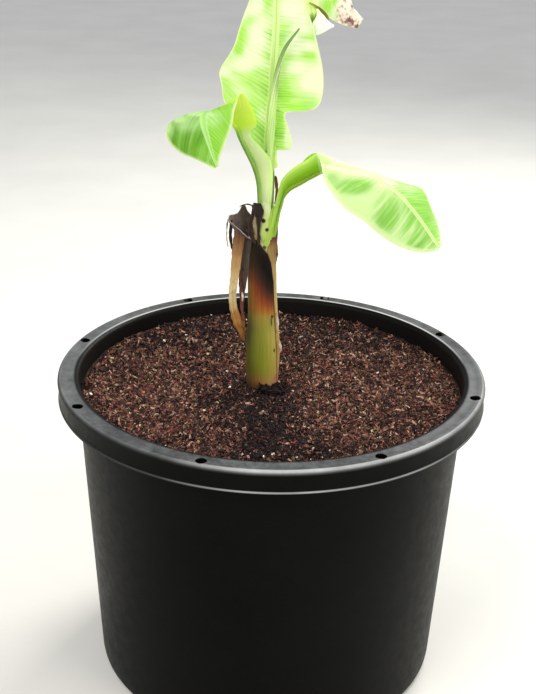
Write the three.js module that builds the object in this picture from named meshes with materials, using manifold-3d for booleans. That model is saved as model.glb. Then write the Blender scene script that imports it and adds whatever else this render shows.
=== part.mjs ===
// A young banana plant in a round nursery pot: pot, potting mix, sheathed stem, three open leaves,
// one rolled spear leaf and the dead outer leaf that hangs beside the stem.
// Millimetres, +Z up. The origin is the centre of the pot's flat underside, and -Y is the front.
import * as THREE from 'three';
import { mergeVertices } from 'three/addons/utils/BufferGeometryUtils.js';
import Module from 'manifold-3d';

const wasm = await Module();
wasm.setup();

// Pot
const RIM_RADIUS = 325;
const POT_HEIGHT = 490;
const RIM_INNER_RADIUS = 300;
const RIM_THICKNESS = 5;
const RIM_ROUNDING = 6;
const SKIRT_DEPTH = 36;
const BEAD_RADIUS = 2.5;
const WALL_TOP_RADIUS = 297;
const WALL_BOTTOM_RADIUS = 271;
const WALL_THICKNESS = 5;
const FLOOR_THICKNESS = 6;
const FOOT_ROUNDING = 10;
const RIM_HOLES = 8;
const RIM_HOLE_RADIUS = 8;
const RIM_HOLE_CIRCLE = 313;
const FIRST_RIM_HOLE_DEGREES = 28.1;
const DRAIN_HOLES = 8;
const DRAIN_HOLE_RADIUS = 10;
const DRAIN_HOLE_CIRCLE = 225;
const POT_SEGMENTS = 56;
const HOLE_SEGMENTS = 16;
const HOLE_CUT_DEPTH = 30;
const SKIRT_CORNER = 3;
const BEAD_STEP = 1;
const UNDER_RIM_FLARE = 4;
const UNDER_RIM_FLARE_HEIGHT = 8;

// Potting mix
const SOIL_LEVEL = 460;
const SOIL_LUMP = 2;
const SOIL_CLEARANCE = 1.3;
const SOIL_SEGMENTS = 48;
const SOIL_RINGS = 11;
const FLAT_SPOT_RADIUS = 46;

// Stem, a little left of the middle and behind it. It leans forwards and bows to the left.
const STEM_X = -13.8;
const STEM_BOW = -3.6;
const STEM_BOW_HEIGHT = 650;
const STEM_BOW_REACH = 65;
const STEM_FOOT_Y = 12.5;
const STEM_TOP_Y = 6;
const STEM_TOP = 742;
const STEM_FOOT_RADIUS = 20.8;
const STEM_TOP_RADIUS = 17.5;
const BULB_SWELL = 3.2;
const BULB_HEIGHT = 515;
const BULB_REACH = 45;
const STEM_RINGS = [468, 480, 492, 504, 516, 530, 545, 565, 590, 620, 650, 680, 710];
const STEM_SEGMENTS = 24;

// Dead sheaths round the stem. Azimuths are in degrees from +X, seen from above.
const SHEATH_FOOT = 464;
const SHEATH_THICKNESS = 2.7;
const SHEATH_GAP = 0.5;
const OUTER_FROM = 72;
const OUTER_TO = 315;
const OUTER_FRONT_TOP = 640;
const OUTER_TOP = 712;
const TAN_FROM = 295;
const TAN_TO = 425;
const TAN_FRONT_TOP = 676;
const TAN_TOP = 722;
const TAN_THICKNESS = 1.5;
const LAP_DEGREES = 14;
const LAP_RISE_DEGREES = 16;
const SHEATH_ROWS = 14;
const SHEATH_ROW_POWER = 1.4;

// Leaves
const BLADE_THICKNESS = 4.5;
const STALK_THICKNESS = 3;
const RIB_THICKNESS = 7;
const STALK_RIB_THICKNESS = 6;
const STRIP_THICKNESS = 2.5;
const GAP = 0.3;

const degrees = Math.PI / 180;

// A closed mesh with only positions: shared corners merged, and triangles with no area left out
function weld(geometry) {
  const bare = geometry.index ? geometry.toNonIndexed() : geometry;
  bare.deleteAttribute('normal');
  bare.deleteAttribute('uv');
  const merged = mergeVertices(bare, 1e-3);
  const kept = [];
  const index = merged.index.array;
  for (let i = 0; i < index.length; i += 3) {
    const [a, b, c] = [index[i], index[i + 1], index[i + 2]];
    if (a !== b && b !== c && c !== a) {
      kept.push(a, b, c);
    }
  }
  merged.setIndex(kept);
  return merged;
}

function toSolid(geometry) {
  const closed = weld(geometry);
  return new wasm.Manifold(new wasm.Mesh({
    numProp: 3,
    vertProperties: new Float32Array(closed.attributes.position.array),
    triVerts: new Uint32Array(closed.index.array),
  }));
}

function toGeometry(solid) {
  const mesh = solid.getMesh();
  const geometry = new THREE.BufferGeometry();
  geometry.setAttribute('position', new THREE.BufferAttribute(mesh.vertProperties, 3));
  geometry.setIndex(new THREE.BufferAttribute(mesh.triVerts, 1));
  return geometry;
}

// A profile of [radius, height] pairs turned about the Z axis
function turned(profile, segments) {
  const points = profile.map(([r, z]) => new THREE.Vector2(r, z));
  return new THREE.LatheGeometry(points, segments).rotateX(Math.PI / 2);
}

// Points of a quarter turn of a profile, both ends included
function corner(centreR, centreZ, radius, fromDegrees, toDegrees, steps) {
  const points = [];
  for (let i = 0; i <= steps; i += 1) {
    const angle = (fromDegrees + (toDegrees - fromDegrees) * i / steps) * degrees;
    points.push([centreR + radius * Math.cos(angle), centreZ + radius * Math.sin(angle)]);
  }
  return points;
}

function wallRadiusAt(z) {
  return WALL_BOTTOM_RADIUS + (WALL_TOP_RADIUS - WALL_BOTTOM_RADIUS) * z / POT_HEIGHT;
}

function ringOfHoles(count, circle, radius, firstDegrees, z) {
  const holes = [];
  for (let i = 0; i < count; i += 1) {
    const angle = (firstDegrees + 360 * i / count) * degrees;
    const hole = new THREE.CylinderGeometry(radius, radius, HOLE_CUT_DEPTH, HOLE_SEGMENTS);
    hole.rotateX(Math.PI / 2);
    hole.translate(circle * Math.cos(angle), circle * Math.sin(angle), z);
    holes.push(toSolid(hole));
  }
  return holes;
}

function makePot() {
  const skirtFoot = POT_HEIGHT - SKIRT_DEPTH;
  const skirtInner = RIM_RADIUS - RIM_THICKNESS;
  const underRim = POT_HEIGHT - RIM_THICKNESS;
  const lip = RIM_INNER_RADIUS - wallRadiusAt(POT_HEIGHT) + WALL_THICKNESS;
  const profile = [
    [0, 0],
    ...corner(WALL_BOTTOM_RADIUS - FOOT_ROUNDING, FOOT_ROUNDING, FOOT_ROUNDING, -90, 0, 3),
    [wallRadiusAt(underRim), underRim - UNDER_RIM_FLARE_HEIGHT],
    [wallRadiusAt(underRim) + UNDER_RIM_FLARE, underRim],
    ...corner(skirtInner - SKIRT_CORNER, underRim - SKIRT_CORNER, SKIRT_CORNER, 90, 0, 2),
    [skirtInner - BEAD_STEP, skirtFoot + 2 * BEAD_RADIUS],
    ...corner(RIM_RADIUS - BEAD_RADIUS, skirtFoot + BEAD_RADIUS, BEAD_RADIUS, -150, 60, 4),
    [RIM_RADIUS - BEAD_STEP, skirtFoot + 3 * BEAD_RADIUS],
    ...corner(RIM_RADIUS - RIM_ROUNDING, POT_HEIGHT - RIM_ROUNDING, RIM_ROUNDING, 0, 90, 3),
    ...corner(RIM_INNER_RADIUS, POT_HEIGHT - lip, lip, 90, 180, 3),
    [wallRadiusAt(FLOOR_THICKNESS) - WALL_THICKNESS, FLOOR_THICKNESS],
    [0, FLOOR_THICKNESS],
  ];
  let pot = toSolid(turned(profile, POT_SEGMENTS));
  const holes = [
    ...ringOfHoles(RIM_HOLES, RIM_HOLE_CIRCLE, RIM_HOLE_RADIUS, FIRST_RIM_HOLE_DEGREES, POT_HEIGHT),
    ...ringOfHoles(DRAIN_HOLES, DRAIN_HOLE_CIRCLE, DRAIN_HOLE_RADIUS, 0, 0),
  ];
  for (const hole of holes) {
    pot = pot.subtract(hole);
  }
  return toGeometry(pot);
}

// Height of the soil above its level: soft lumps that fade out at the stem and at the wall
function soilLump(x, y) {
  const fromStem = Math.hypot(x - STEM_X, y - STEM_FOOT_Y);
  const fade = THREE.MathUtils.smoothstep(fromStem, FLAT_SPOT_RADIUS, 2 * FLAT_SPOT_RADIUS);
  const wave = Math.sin(x / 31) * Math.cos(y / 27) + 0.6 * Math.sin((x + y) / 19);
  return SOIL_LUMP * fade * wave;
}

function makePottingMix() {
  const floor = FLOOR_THICKNESS + GAP;
  const inside = WALL_THICKNESS + SOIL_CLEARANCE;
  const topRadius = wallRadiusAt(SOIL_LEVEL) - inside;
  const profile = [
    [0, floor],
    [wallRadiusAt(floor) - inside, floor],
    [topRadius, SOIL_LEVEL],
  ];
  for (let i = 1; i <= SOIL_RINGS; i += 1) {
    profile.push([topRadius * (1 - i / SOIL_RINGS), SOIL_LEVEL]);
  }
  const plug = turned(profile, SOIL_SEGMENTS);
  const position = plug.attributes.position;
  for (let i = 0; i < position.count; i += 1) {
    const [x, y, z] = [position.getX(i), position.getY(i), position.getZ(i)];
    if (z > SOIL_LEVEL - 1 && Math.hypot(x, y) < topRadius - 1) {
      position.setZ(i, z + soilLump(x, y));
    }
  }
  return weld(plug);
}

// A bell curve of height: 1 at its middle, and near 0 two reaches away
function bell(z, middle, reach) {
  return Math.exp(-(((z - middle) / reach) ** 2));
}

// Radius of the green stem at a height: a slow taper to the fork, with a bulb above the soil
function stemRadius(z) {
  const along = (z - SOIL_LEVEL) / (STEM_TOP - SOIL_LEVEL);
  const taper = STEM_FOOT_RADIUS + (STEM_TOP_RADIUS - STEM_FOOT_RADIUS) * along;
  return taper + BULB_SWELL * bell(z, BULB_HEIGHT, BULB_REACH);
}

function stemCentre(z) {
  const along = (z - SOIL_LEVEL) / (STEM_TOP - SOIL_LEVEL);
  const x = STEM_X + STEM_BOW * bell(z, STEM_BOW_HEIGHT, STEM_BOW_REACH);
  return [x, STEM_FOOT_Y + (STEM_TOP_Y - STEM_FOOT_Y) * along];
}

// Closed body from two like grids of points, rows by columns: front faces out, back faces the
// other way, and walls join them all round
function slab(front, back) {
  const rows = front.length;
  const last = front[0].length - 1;
  const corners = [];
  const quad = (a, b, c, d) => {
    corners.push(...a, ...b, ...c, ...a, ...c, ...d);
  };
  for (let i = 0; i < rows - 1; i += 1) {
    for (let j = 0; j < last; j += 1) {
      const k = j + 1;
      quad(front[i][j], front[i][k], front[i + 1][k], front[i + 1][j]);
      quad(back[i][j], back[i + 1][j], back[i + 1][k], back[i][k]);
    }
  }
  for (let j = 0; j < last; j += 1) {
    const k = j + 1;
    quad(front[0][j], back[0][j], back[0][k], front[0][k]);
    quad(front[rows - 1][j], front[rows - 1][k], back[rows - 1][k], back[rows - 1][j]);
  }
  for (let i = 0; i < rows - 1; i += 1) {
    quad(front[i][0], front[i + 1][0], back[i + 1][0], back[i][0]);
    quad(front[i][last], back[i][last], back[i + 1][last], front[i + 1][last]);
  }
  const geometry = new THREE.BufferGeometry();
  geometry.setAttribute('position', new THREE.Float32BufferAttribute(corners, 3));
  return weld(geometry);
}

function makeStem() {
  const heights = [SOIL_LEVEL + GAP, ...STEM_RINGS, STEM_TOP];
  const profile = [[0, heights[0]]];
  for (const z of heights) {
    profile.push([stemRadius(z), z]);
  }
  profile.push([0, STEM_TOP]);
  const stem = turned(profile, STEM_SEGMENTS);
  const position = stem.attributes.position;
  for (let i = 0; i < position.count; i += 1) {
    const [x, y] = stemCentre(position.getZ(i));
    position.setX(i, position.getX(i) + x);
    position.setY(i, position.getY(i) + y);
  }
  return weld(stem);
}

// A dead sheath wrapped round the stem, from one azimuth to another and from a level foot to a top
// whose height depends on how far round it is. Its rows are closer together near the foot.
function wrap({ from, to, foot, top, off, thickness, columns }) {
  const skins = [thickness, 0].map((out) => {
    const grid = [];
    for (let i = 0; i <= SHEATH_ROWS; i += 1) {
      const up = (i / SHEATH_ROWS) ** SHEATH_ROW_POWER;
      const row = [];
      for (let j = 0; j <= columns; j += 1) {
        const across = j / columns;
        const angle = (from + (to - from) * across) * degrees;
        const z = foot + (top(across) - foot) * up;
        const [x, y] = stemCentre(z);
        const r = stemRadius(z) + off(across) + out;
        row.push([x + r * Math.cos(angle), y + r * Math.sin(angle), z]);
      }
      grid.push(row);
    }
    return grid;
  });
  return slab(skins[0], skins[1]);
}

// The tan sheath shows on the right and behind, and is the inner of the two
function makeTanSheath() {
  const drop = TAN_TOP - TAN_FRONT_TOP;
  return wrap({
    from: TAN_FROM,
    to: TAN_TO,
    foot: SHEATH_FOOT,
    top: (across) => TAN_FRONT_TOP + drop * Math.min(1, across / 0.4),
    off: () => SHEATH_GAP,
    thickness: TAN_THICKNESS,
    columns: 10,
  });
}

// The outer sheath laps over the tan one in front. Its free margin falls from the left side to there.
function makeOuterSheath() {
  const degreesAt = (across) => OUTER_FROM + (OUTER_TO - OUTER_FROM) * across;
  const lapEnd = TAN_FROM - LAP_DEGREES;
  return wrap({
    from: OUTER_FROM,
    to: OUTER_TO,
    foot: SHEATH_FOOT,
    top: (across) => {
      const toMargin = Math.min(1, (OUTER_TO - degreesAt(across)) / (OUTER_TO - 180));
      return OUTER_FRONT_TOP + (OUTER_TOP - OUTER_FRONT_TOP) * Math.sqrt(toMargin);
    },
    off: (across) => {
      const lapped = THREE.MathUtils.smoothstep(degreesAt(across), lapEnd - LAP_RISE_DEGREES, lapEnd);
      return SHEATH_GAP + (TAN_THICKNESS + SHEATH_GAP) * lapped;
    },
    thickness: SHEATH_THICKNESS,
    columns: 18,
  });
}

// A leaf, or a strip of dead leaf, as a sheet through stations from its foot to its tip. A station
// has the rib's place, the places of the left and right edge as seen from foot to tip with the
// upper face up, and how far each half bulges up between rib and edge. The rib and the edges are
// smooth curves through the stations. A piece of the sheet runs from one station number to another.
function sheet(stations, from, to, { rows, halfColumns, edge, rib }) {
  const line = (key) => new THREE.CatmullRomCurve3(stations.map((s) => new THREE.Vector3(...s[key])));
  const lines = { rib: line('rib'), left: line('left'), right: line('right') };
  const last = stations.length - 1;

  // The sheet's upper face, at a station number and from -1 at the left edge to 1 at the right
  const faceAt = (station, across) => {
    const t = station / last;
    const middle = lines.rib.getPoint(t);
    const along = lines.rib.getTangent(t);
    const side = across < 0 ? 0 : 1;
    const span = (side ? lines.right : lines.left).getPoint(t).sub(middle);
    const up = side ? span.clone().cross(along) : along.clone().cross(span);
    const before = Math.min(Math.floor(station), last - 1);
    const bulge = THREE.MathUtils.lerp(
      stations[before].bulge[side],
      stations[before + 1].bulge[side],
      station - before,
    );
    const out = Math.abs(across);
    const lift = bulge * 4 * out * (1 - out);
    return middle.addScaledVector(span, out).addScaledVector(up.normalize(), lift);
  };

  const step = 0.05;
  const upper = [];
  const under = [];
  for (let i = 0; i <= rows; i += 1) {
    const station = from + (to - from) * i / rows;
    const [behind, ahead] = [Math.max(station - step, 0), Math.min(station + step, last)];
    const upperRow = [];
    const underRow = [];
    for (let j = -halfColumns; j <= halfColumns; j += 1) {
      const across = j / halfColumns;
      const [left, right] = [Math.max(across - step, -1), Math.min(across + step, 1)];
      const along = faceAt(ahead, across).sub(faceAt(behind, across));
      const up = faceAt(station, right).sub(faceAt(station, left)).cross(along).normalize();
      const thick = edge + (rib - edge) * (1 - Math.abs(across)) ** 3;
      const point = faceAt(station, across);
      upperRow.push(point.toArray());
      underRow.push(point.addScaledVector(up, -thick).toArray());
    }
    upper.push(upperRow);
    under.push(underRow);
  }
  return slab(upper, under);
}

const RIGHT_LEAF = [
  { rib: [4, -1, 738], left: [-1, 6, 738], right: [-2, -7, 738], bulge: [-1, -2] },
  { rib: [9, -5, 762], left: [6, 3, 765], right: [3, -17, 770], bulge: [-1, -2] },
  { rib: [19, -11, 777], left: [16, -3, 784], right: [10, -25, 796], bulge: [-1, -2] },
  { rib: [34, -16, 790], left: [29, -6, 802], right: [26, -33, 816], bulge: [-2, -3] },
  { rib: [49, -20, 800], left: [43, -4, 822], right: [43, -38, 828], bulge: [-3, -4] },
  { rib: [62, -24, 807], left: [57, -4, 829], right: [56, -44, 838], bulge: [-4, -4] },
  { rib: [82, -28, 813], left: [84, 0, 818], right: [66, -74, 808], bulge: [0, 14] },
  { rib: [103, -32, 815], left: [112, 2, 806], right: [80, -79, 788], bulge: [2, 12] },
  { rib: [128, -36, 811], left: [146, 6, 795], right: [96, -82, 771], bulge: [2, 11] },
  { rib: [153, -40, 797], left: [180, 6, 786], right: [122, -82, 754], bulge: [3, 10] },
  { rib: [178, -45, 778], left: [212, 8, 774], right: [148, -80, 732], bulge: [3, 9] },
  { rib: [204, -50, 749], left: [226, -4, 750], right: [176, -77, 715], bulge: [2, 6] },
  { rib: [226, -55, 720], left: [236, -24, 726], right: [208, -70, 705], bulge: [1, 2] },
  { rib: [234, -58, 709], left: [238, -54, 710], right: [231, -60, 705], bulge: [0, 0] },
];
const RIGHT_STALK_END = 4.966;
const RIGHT_BLADE_START = 5.034;

const LEFT_LEAF = [
  { rib: [-19, 2, 738], left: [-4, -9, 738], right: [-15, 9, 738], bulge: [-3, -1] },
  { rib: [-24, -4, 785], left: [-5, -14, 790], right: [-18, 4, 790], bulge: [-3, -1] },
  { rib: [-32, -9, 812], left: [-9, -18, 822], right: [-24, -1, 818], bulge: [-3, -1] },
  { rib: [-43, -14, 835], left: [-24, -21, 841], right: [-37, -6, 842], bulge: [-2, -1] },
  { rib: [-51, -17, 852], left: [-38, -24, 860], right: [-45, -9, 862], bulge: [-2, -1] },
  { rib: [-58, -21, 868], left: [-29, -30, 874], right: [-56, -6, 884], bulge: [-3, -2] },
  { rib: [-73, -32, 887], left: [-36, -40, 901], right: [-82, -12, 887], bulge: [-4, -2] },
  { rib: [-90, -46, 895], left: [-50, -56, 922], right: [-124, -24, 883], bulge: [-2, 2] },
  { rib: [-100, -60, 894], left: [-58, -68, 905], right: [-153, -44, 873], bulge: [2, 6] },
  { rib: [-100, -69, 882], left: [-62, -74, 882], right: [-149, -66, 857], bulge: [2, 8] },
  { rib: [-95, -76, 866], left: [-69, -80, 862], right: [-133, -76, 844], bulge: [2, 5] },
  { rib: [-88, -83, 846], left: [-76, -86, 843], right: [-108, -84, 835], bulge: [1, 2] },
  { rib: [-81, -90, 829], left: [-79, -91, 829], right: [-85, -91, 826], bulge: [0, 0] },
];
const LEFT_STALK_END = 5.991;
const LEFT_BLADE_START = 6.009;

const CENTRE_LEAF = [
  { rib: [-8, 18, 738], left: [-14, 13, 738], right: [-2, 13, 738], bulge: [-1, -1] },
  { rib: [-11, 17, 790], left: [-18, 11, 790], right: [-3, 11, 790], bulge: [-1, -1] },
  { rib: [-12, 16, 826], left: [-19, 10, 826], right: [-4, 10, 826], bulge: [-1, -1] },
  { rib: [-12, 16, 830], left: [-20, 10, 831], right: [21, 10, 831], bulge: [-1, -2] },
  { rib: [-11, 16, 856], left: [-56, 6, 868], right: [16, 10, 858], bulge: [-3, -2] },
  { rib: [-10, 16, 884], left: [-74, 2, 897], right: [10, 10, 881], bulge: [-5, -2] },
  { rib: [-10, 16, 888], left: [-76, 2, 901], right: [54, 2, 893], bulge: [-5, -4] },
  { rib: [-8, 16, 905], left: [-79, 2, 920], right: [62, 2, 910], bulge: [-6, -5] },
  { rib: [-7, 17, 940], left: [-82, 4, 940], right: [61, 4, 941], bulge: [-6, -5] },
  { rib: [-6, 20, 972], left: [-64, 8, 970], right: [54, 6, 975], bulge: [-5, -4] },
  { rib: [-5, 24, 1004], left: [-54, 14, 1004], right: [46, 12, 1004], bulge: [-4, -3] },
  { rib: [-5, 30, 1037], left: [-42, 22, 1037], right: [31, 20, 1037], bulge: [-3, -2] },
  { rib: [-4, 38, 1072], left: [-32, 34, 1076], right: [24, 28, 1076], bulge: [-2, -1] },
  { rib: [4, 52, 1100], left: [-20, 58, 1106], right: [32, 36, 1096], bulge: [-1, 0] },
  { rib: [28, 68, 1104], left: [10, 88, 1104], right: [44, 42, 1078], bulge: [1, 3] },
  { rib: [56, 78, 1082], left: [50, 104, 1076], right: [56, 50, 1034], bulge: [2, 5] },
  { rib: [80, 86, 1050], left: [84, 110, 1042], right: [70, 60, 1004], bulge: [2, 5] },
  { rib: [102, 91, 1018], left: [112, 104, 1014], right: [90, 74, 990], bulge: [1, 2] },
  { rib: [118, 94, 994], left: [121, 97, 994], right: [114, 90, 988], bulge: [0, 0] },
];
const CENTRE_STALK_END = 1.952;
const CENTRE_BLADE_START = 2.04;
const CENTRE_BEND_FOOT = 12.393;
const CENTRE_BEND_TOP = 12.407;

const HOOD = [
  { rib: [-38.5, 7.5, 690], left: [-33, -10.5, 701], right: [-33, 25, 737], bulge: [-2, -2] },
  { rib: [-43, 6, 691], left: [-41, -13, 706], right: [-39, 23, 743], bulge: [-2, -3] },
  { rib: [-49, 4, 698], left: [-49, -12, 714], right: [-46, 20, 742], bulge: [-2, -3] },
  { rib: [-58, 3, 708], left: [-60, -9, 722], right: [-57, 14, 733], bulge: [-1, -2] },
  { rib: [-68, 0, 724], left: [-70, -5, 729], right: [-68, 5, 730], bulge: [0, 0] },
];

const STRAW_STRIP = [
  { rib: [-51, -15.2, 708], left: [-44, -16.8, 705], right: [-59, -13.4, 713], bulge: [0, 0] },
  { rib: [-54, -15, 668], left: [-46, -16, 668], right: [-63, -13, 668], bulge: [1, 1] },
  { rib: [-59, -14, 626], left: [-52, -14, 626], right: [-66, -12, 626], bulge: [1, 1] },
  { rib: [-60, -12, 596], left: [-55, -11, 598], right: [-66, -12, 596], bulge: [1, 1] },
  { rib: [-54, -12, 570], left: [-47, -11, 576], right: [-60, -12, 570], bulge: [1, 1] },
  { rib: [-43, -11, 538], left: [-41, -10, 540], right: [-46, -11, 538], bulge: [0, 0] },
];

const DARK_STRIP = [
  { rib: [-39, -8.4, 692], left: [-31.4, -11.2, 692], right: [-45, -5.8, 692], bulge: [0, 0] },
  { rib: [-42, -9, 640], left: [-34, -11.5, 640], right: [-48, -5, 641], bulge: [1, 1] },
  { rib: [-43, -7, 590], left: [-38, -9, 590], right: [-47, -4, 591], bulge: [1, 1] },
  { rib: [-41, -7, 552], left: [-39, -8, 552], right: [-43, -6, 552], bulge: [0, 0] },
];

const SPEAR = [
  { at: [-9, 5, 738], radius: 4 },
  { at: [-9, 5, 790], radius: 4.5 },
  { at: [-9, 7, 845], radius: 5 },
  { at: [-6, 9, 903], radius: 5 },
  { at: [-2, 10, 938], radius: 3.8 },
  { at: [8, 10, 972], radius: 2.6 },
  { at: [27, 8, 1000], radius: 1.2 },
];

// A round rod through stations that have a place and a radius, with flat ends
function rod(stations, rows, sides) {
  const line = new THREE.CatmullRomCurve3(stations.map((s) => new THREE.Vector3(...s.at)));
  const last = stations.length - 1;
  const corners = [];
  const ring = (i) => {
    const t = i / rows;
    const centre = line.getPoint(t);
    const along = line.getTangent(t);
    const side = new THREE.Vector3(0, 1, 0).cross(along).normalize();
    const front = along.clone().cross(side);
    const before = Math.min(Math.floor(t * last), last - 1);
    const radius = THREE.MathUtils.lerp(
      stations[before].radius,
      stations[before + 1].radius,
      t * last - before,
    );
    const points = [];
    for (let j = 0; j < sides; j += 1) {
      const angle = 2 * Math.PI * j / sides;
      const point = centre.clone().addScaledVector(side, radius * Math.cos(angle));
      points.push(point.addScaledVector(front, radius * Math.sin(angle)).toArray());
    }
    return { centre: centre.toArray(), points };
  };
  const rings = Array.from({ length: rows + 1 }, (_, i) => ring(i));
  for (let j = 0; j < sides; j += 1) {
    const k = (j + 1) % sides;
    for (let i = 0; i < rows; i += 1) {
      const [a, b] = [rings[i].points, rings[i + 1].points];
      corners.push(...a[j], ...a[k], ...b[k], ...a[j], ...b[k], ...b[j]);
    }
    corners.push(...rings[0].centre, ...rings[0].points[k], ...rings[0].points[j]);
    corners.push(...rings[rows].centre, ...rings[rows].points[j], ...rings[rows].points[k]);
  }
  const geometry = new THREE.BufferGeometry();
  geometry.setAttribute('position', new THREE.Float32BufferAttribute(corners, 3));
  return weld(geometry);
}

// The stalks stand on the stem's flat top, so what would reach below it is cut off
function standOnStem(geometry) {
  const [blockWidth, blockHeight] = [120, 40];
  const block = new THREE.BoxGeometry(blockWidth, blockWidth, blockHeight);
  block.translate(STEM_X, STEM_TOP_Y, STEM_TOP + GAP - blockHeight / 2);
  return toGeometry(toSolid(geometry).subtract(toSolid(block)));
}

const colours = {
  pot: [0x17191a, 0.45],
  soil: [0x3a2620, 0.95],
  stem: [0x9fb83c, 0.55],
  sheath: [0x5c4a1e, 0.7],
  tan: [0xc9a86a, 0.75],
  dead: [0x3a302c, 0.85],
  straw: [0xd8b878, 0.8],
  leaf: [0x8ed04a, 0.5],
  stalk: [0xc6e68c, 0.5],
};

const plant = new THREE.Group();

function add(name, geometry, finish) {
  const [color, roughness] = colours[finish];
  const mesh = new THREE.Mesh(geometry, new THREE.MeshStandardMaterial({ color, roughness, metalness: 0 }));
  mesh.name = name;
  plant.add(mesh);
}

const blade = { rows: 20, halfColumns: 5, edge: BLADE_THICKNESS, rib: RIB_THICKNESS };
const stalk = { rows: 14, halfColumns: 4, edge: STALK_THICKNESS, rib: STALK_RIB_THICKNESS };
const strip = { rows: 12, halfColumns: 2, edge: STRIP_THICKNESS, rib: STRIP_THICKNESS };

add('pot', makePot(), 'pot');
add('potting_mix', makePottingMix(), 'soil');
add('stem', makeStem(), 'stem');
add('tan_sheath', makeTanSheath(), 'tan');
add('outer_sheath', makeOuterSheath(), 'sheath');
add('right_leaf_stalk', standOnStem(sheet(RIGHT_LEAF, 0, RIGHT_STALK_END, stalk)), 'stalk');
add('right_leaf_blade', sheet(RIGHT_LEAF, RIGHT_BLADE_START, RIGHT_LEAF.length - 1, blade), 'leaf');
add('left_leaf_stalk', standOnStem(sheet(LEFT_LEAF, 0, LEFT_STALK_END, stalk)), 'stalk');
add('left_leaf_blade', sheet(LEFT_LEAF, LEFT_BLADE_START, LEFT_LEAF.length - 1, blade), 'leaf');
add('centre_leaf_stalk', standOnStem(sheet(CENTRE_LEAF, 0, CENTRE_STALK_END, stalk)), 'stalk');
add('centre_leaf_blade', sheet(CENTRE_LEAF, CENTRE_BLADE_START, CENTRE_BEND_FOOT, blade), 'leaf');
add('centre_leaf_tip', sheet(CENTRE_LEAF, CENTRE_BEND_TOP, CENTRE_LEAF.length - 1, blade), 'leaf');
add('spear_leaf', standOnStem(rod(SPEAR, 20, 10)), 'stalk');
add('dead_hood', sheet(HOOD, 0, HOOD.length - 1, strip), 'dead');
add('straw_strip', sheet(STRAW_STRIP, 0, STRAW_STRIP.length - 1, strip), 'straw');
add('dark_strip', sheet(DARK_STRIP, 0, DARK_STRIP.length - 1, strip), 'dead');

export default plant;
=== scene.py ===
# %% [markdown]
# # A potted banana plant
#
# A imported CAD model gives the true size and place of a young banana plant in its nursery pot. The
# cells below dress it: every leaf, sheath, chip of bark and edge of the pot becomes a fine mesh
# that sits where the CAD solid is, with a material made of nodes. Lengths are in metres once they
# reach Blender. The plant's own sizes are written in millimetres, as a grower would measure them.

# %% Load the frame
import math

import bpy
import numpy as np
from mathutils import Matrix, Vector


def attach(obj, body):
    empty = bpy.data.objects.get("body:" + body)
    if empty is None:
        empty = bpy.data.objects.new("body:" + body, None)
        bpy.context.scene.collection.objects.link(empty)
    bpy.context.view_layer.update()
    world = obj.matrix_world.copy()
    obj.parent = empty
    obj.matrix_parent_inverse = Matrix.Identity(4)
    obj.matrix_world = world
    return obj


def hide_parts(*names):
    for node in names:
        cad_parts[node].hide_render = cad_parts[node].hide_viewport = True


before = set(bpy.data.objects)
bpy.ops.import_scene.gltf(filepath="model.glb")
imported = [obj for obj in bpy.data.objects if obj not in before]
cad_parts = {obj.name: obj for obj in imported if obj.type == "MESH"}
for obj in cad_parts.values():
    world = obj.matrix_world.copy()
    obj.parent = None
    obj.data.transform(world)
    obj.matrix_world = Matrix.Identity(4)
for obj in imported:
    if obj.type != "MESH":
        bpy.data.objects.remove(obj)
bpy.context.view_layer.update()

MM = 0.001
print("nodes in the frame:", len(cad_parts))

# %% [markdown]
# ## Camera, floor and light
#
# The pot is seen from standing height, 1.28 m, a good 1.7 m in front of the pot's middle, looking
# down 23.5 degrees. The camera is turned a little about its own axis, because the picture it has to
# match leans. The stage is a pale floor under soft studio light: one wide lamp high on the left, a
# second on the right, one behind on the right that shines through the leaves, and a pale sky all round.

# %% Camera
CAMERA = {"place": (-0.0064, -1.7333, 1.2795), "down_radians": 0.4109, "roll_radians": 0.0221}
IMAGE_HEIGHT_PX = 694
FOCAL_LENGTH_PX = 1241
SENSOR_MM = 36


def make_camera():
    """A camera that looks along +Y, pitched down and rolled about its own line of sight."""
    data = bpy.data.cameras.new("camera")
    data.sensor_width = SENSOR_MM
    data.lens = SENSOR_MM * FOCAL_LENGTH_PX / IMAGE_HEIGHT_PX
    data.clip_end = 100
    camera = bpy.data.objects.new("camera", data)
    pitch = Matrix.Rotation(math.pi / 2 - CAMERA["down_radians"], 4, "X")
    roll = Matrix.Rotation(CAMERA["roll_radians"], 4, "Z")
    camera.matrix_world = Matrix.Translation(CAMERA["place"]) @ pitch @ roll
    bpy.context.collection.objects.link(camera)
    bpy.context.scene.camera = camera
    return camera


print("camera lens:", round(make_camera().data.lens, 1), "mm")

# %% [markdown]
# Colours are picked as sRGB hex values, the way a paint chart gives them. Blender's shaders work in
# linear light, so one function does the change. A second small function adds a node to a material
# with its settings and its links, and every material below is built from those two. Two kinds of node
# are used so often that their sockets go by number. A MapRange takes the value 0 from the range 1 to 2
# into the range 3 to 4, and holds it there. A start that isn't given is 0, and an end is 1.
# A Mix lays colour 7 over colour 6 by the amount 0.

# %% Colour and node helpers
USUAL = {"Mix": {"out": 2, "data_type": "RGBA"}, "Attribute": {"out": "Fac"}}


def linear(hex_colour):
    """Linear RGBA of an sRGB hex colour: each channel c becomes ((c + 0.055) / 1.055) ** 2.4, or
    c / 12.92 where it is very dark."""
    srgb = np.array([int(hex_colour[i:i + 2], 16) for i in (1, 3, 5)]) / 255
    rgb = np.where(srgb <= 0.04045, srgb / 12.92, ((srgb + 0.055) / 1.055) ** 2.4)
    return (*rgb, 1.0)


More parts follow.
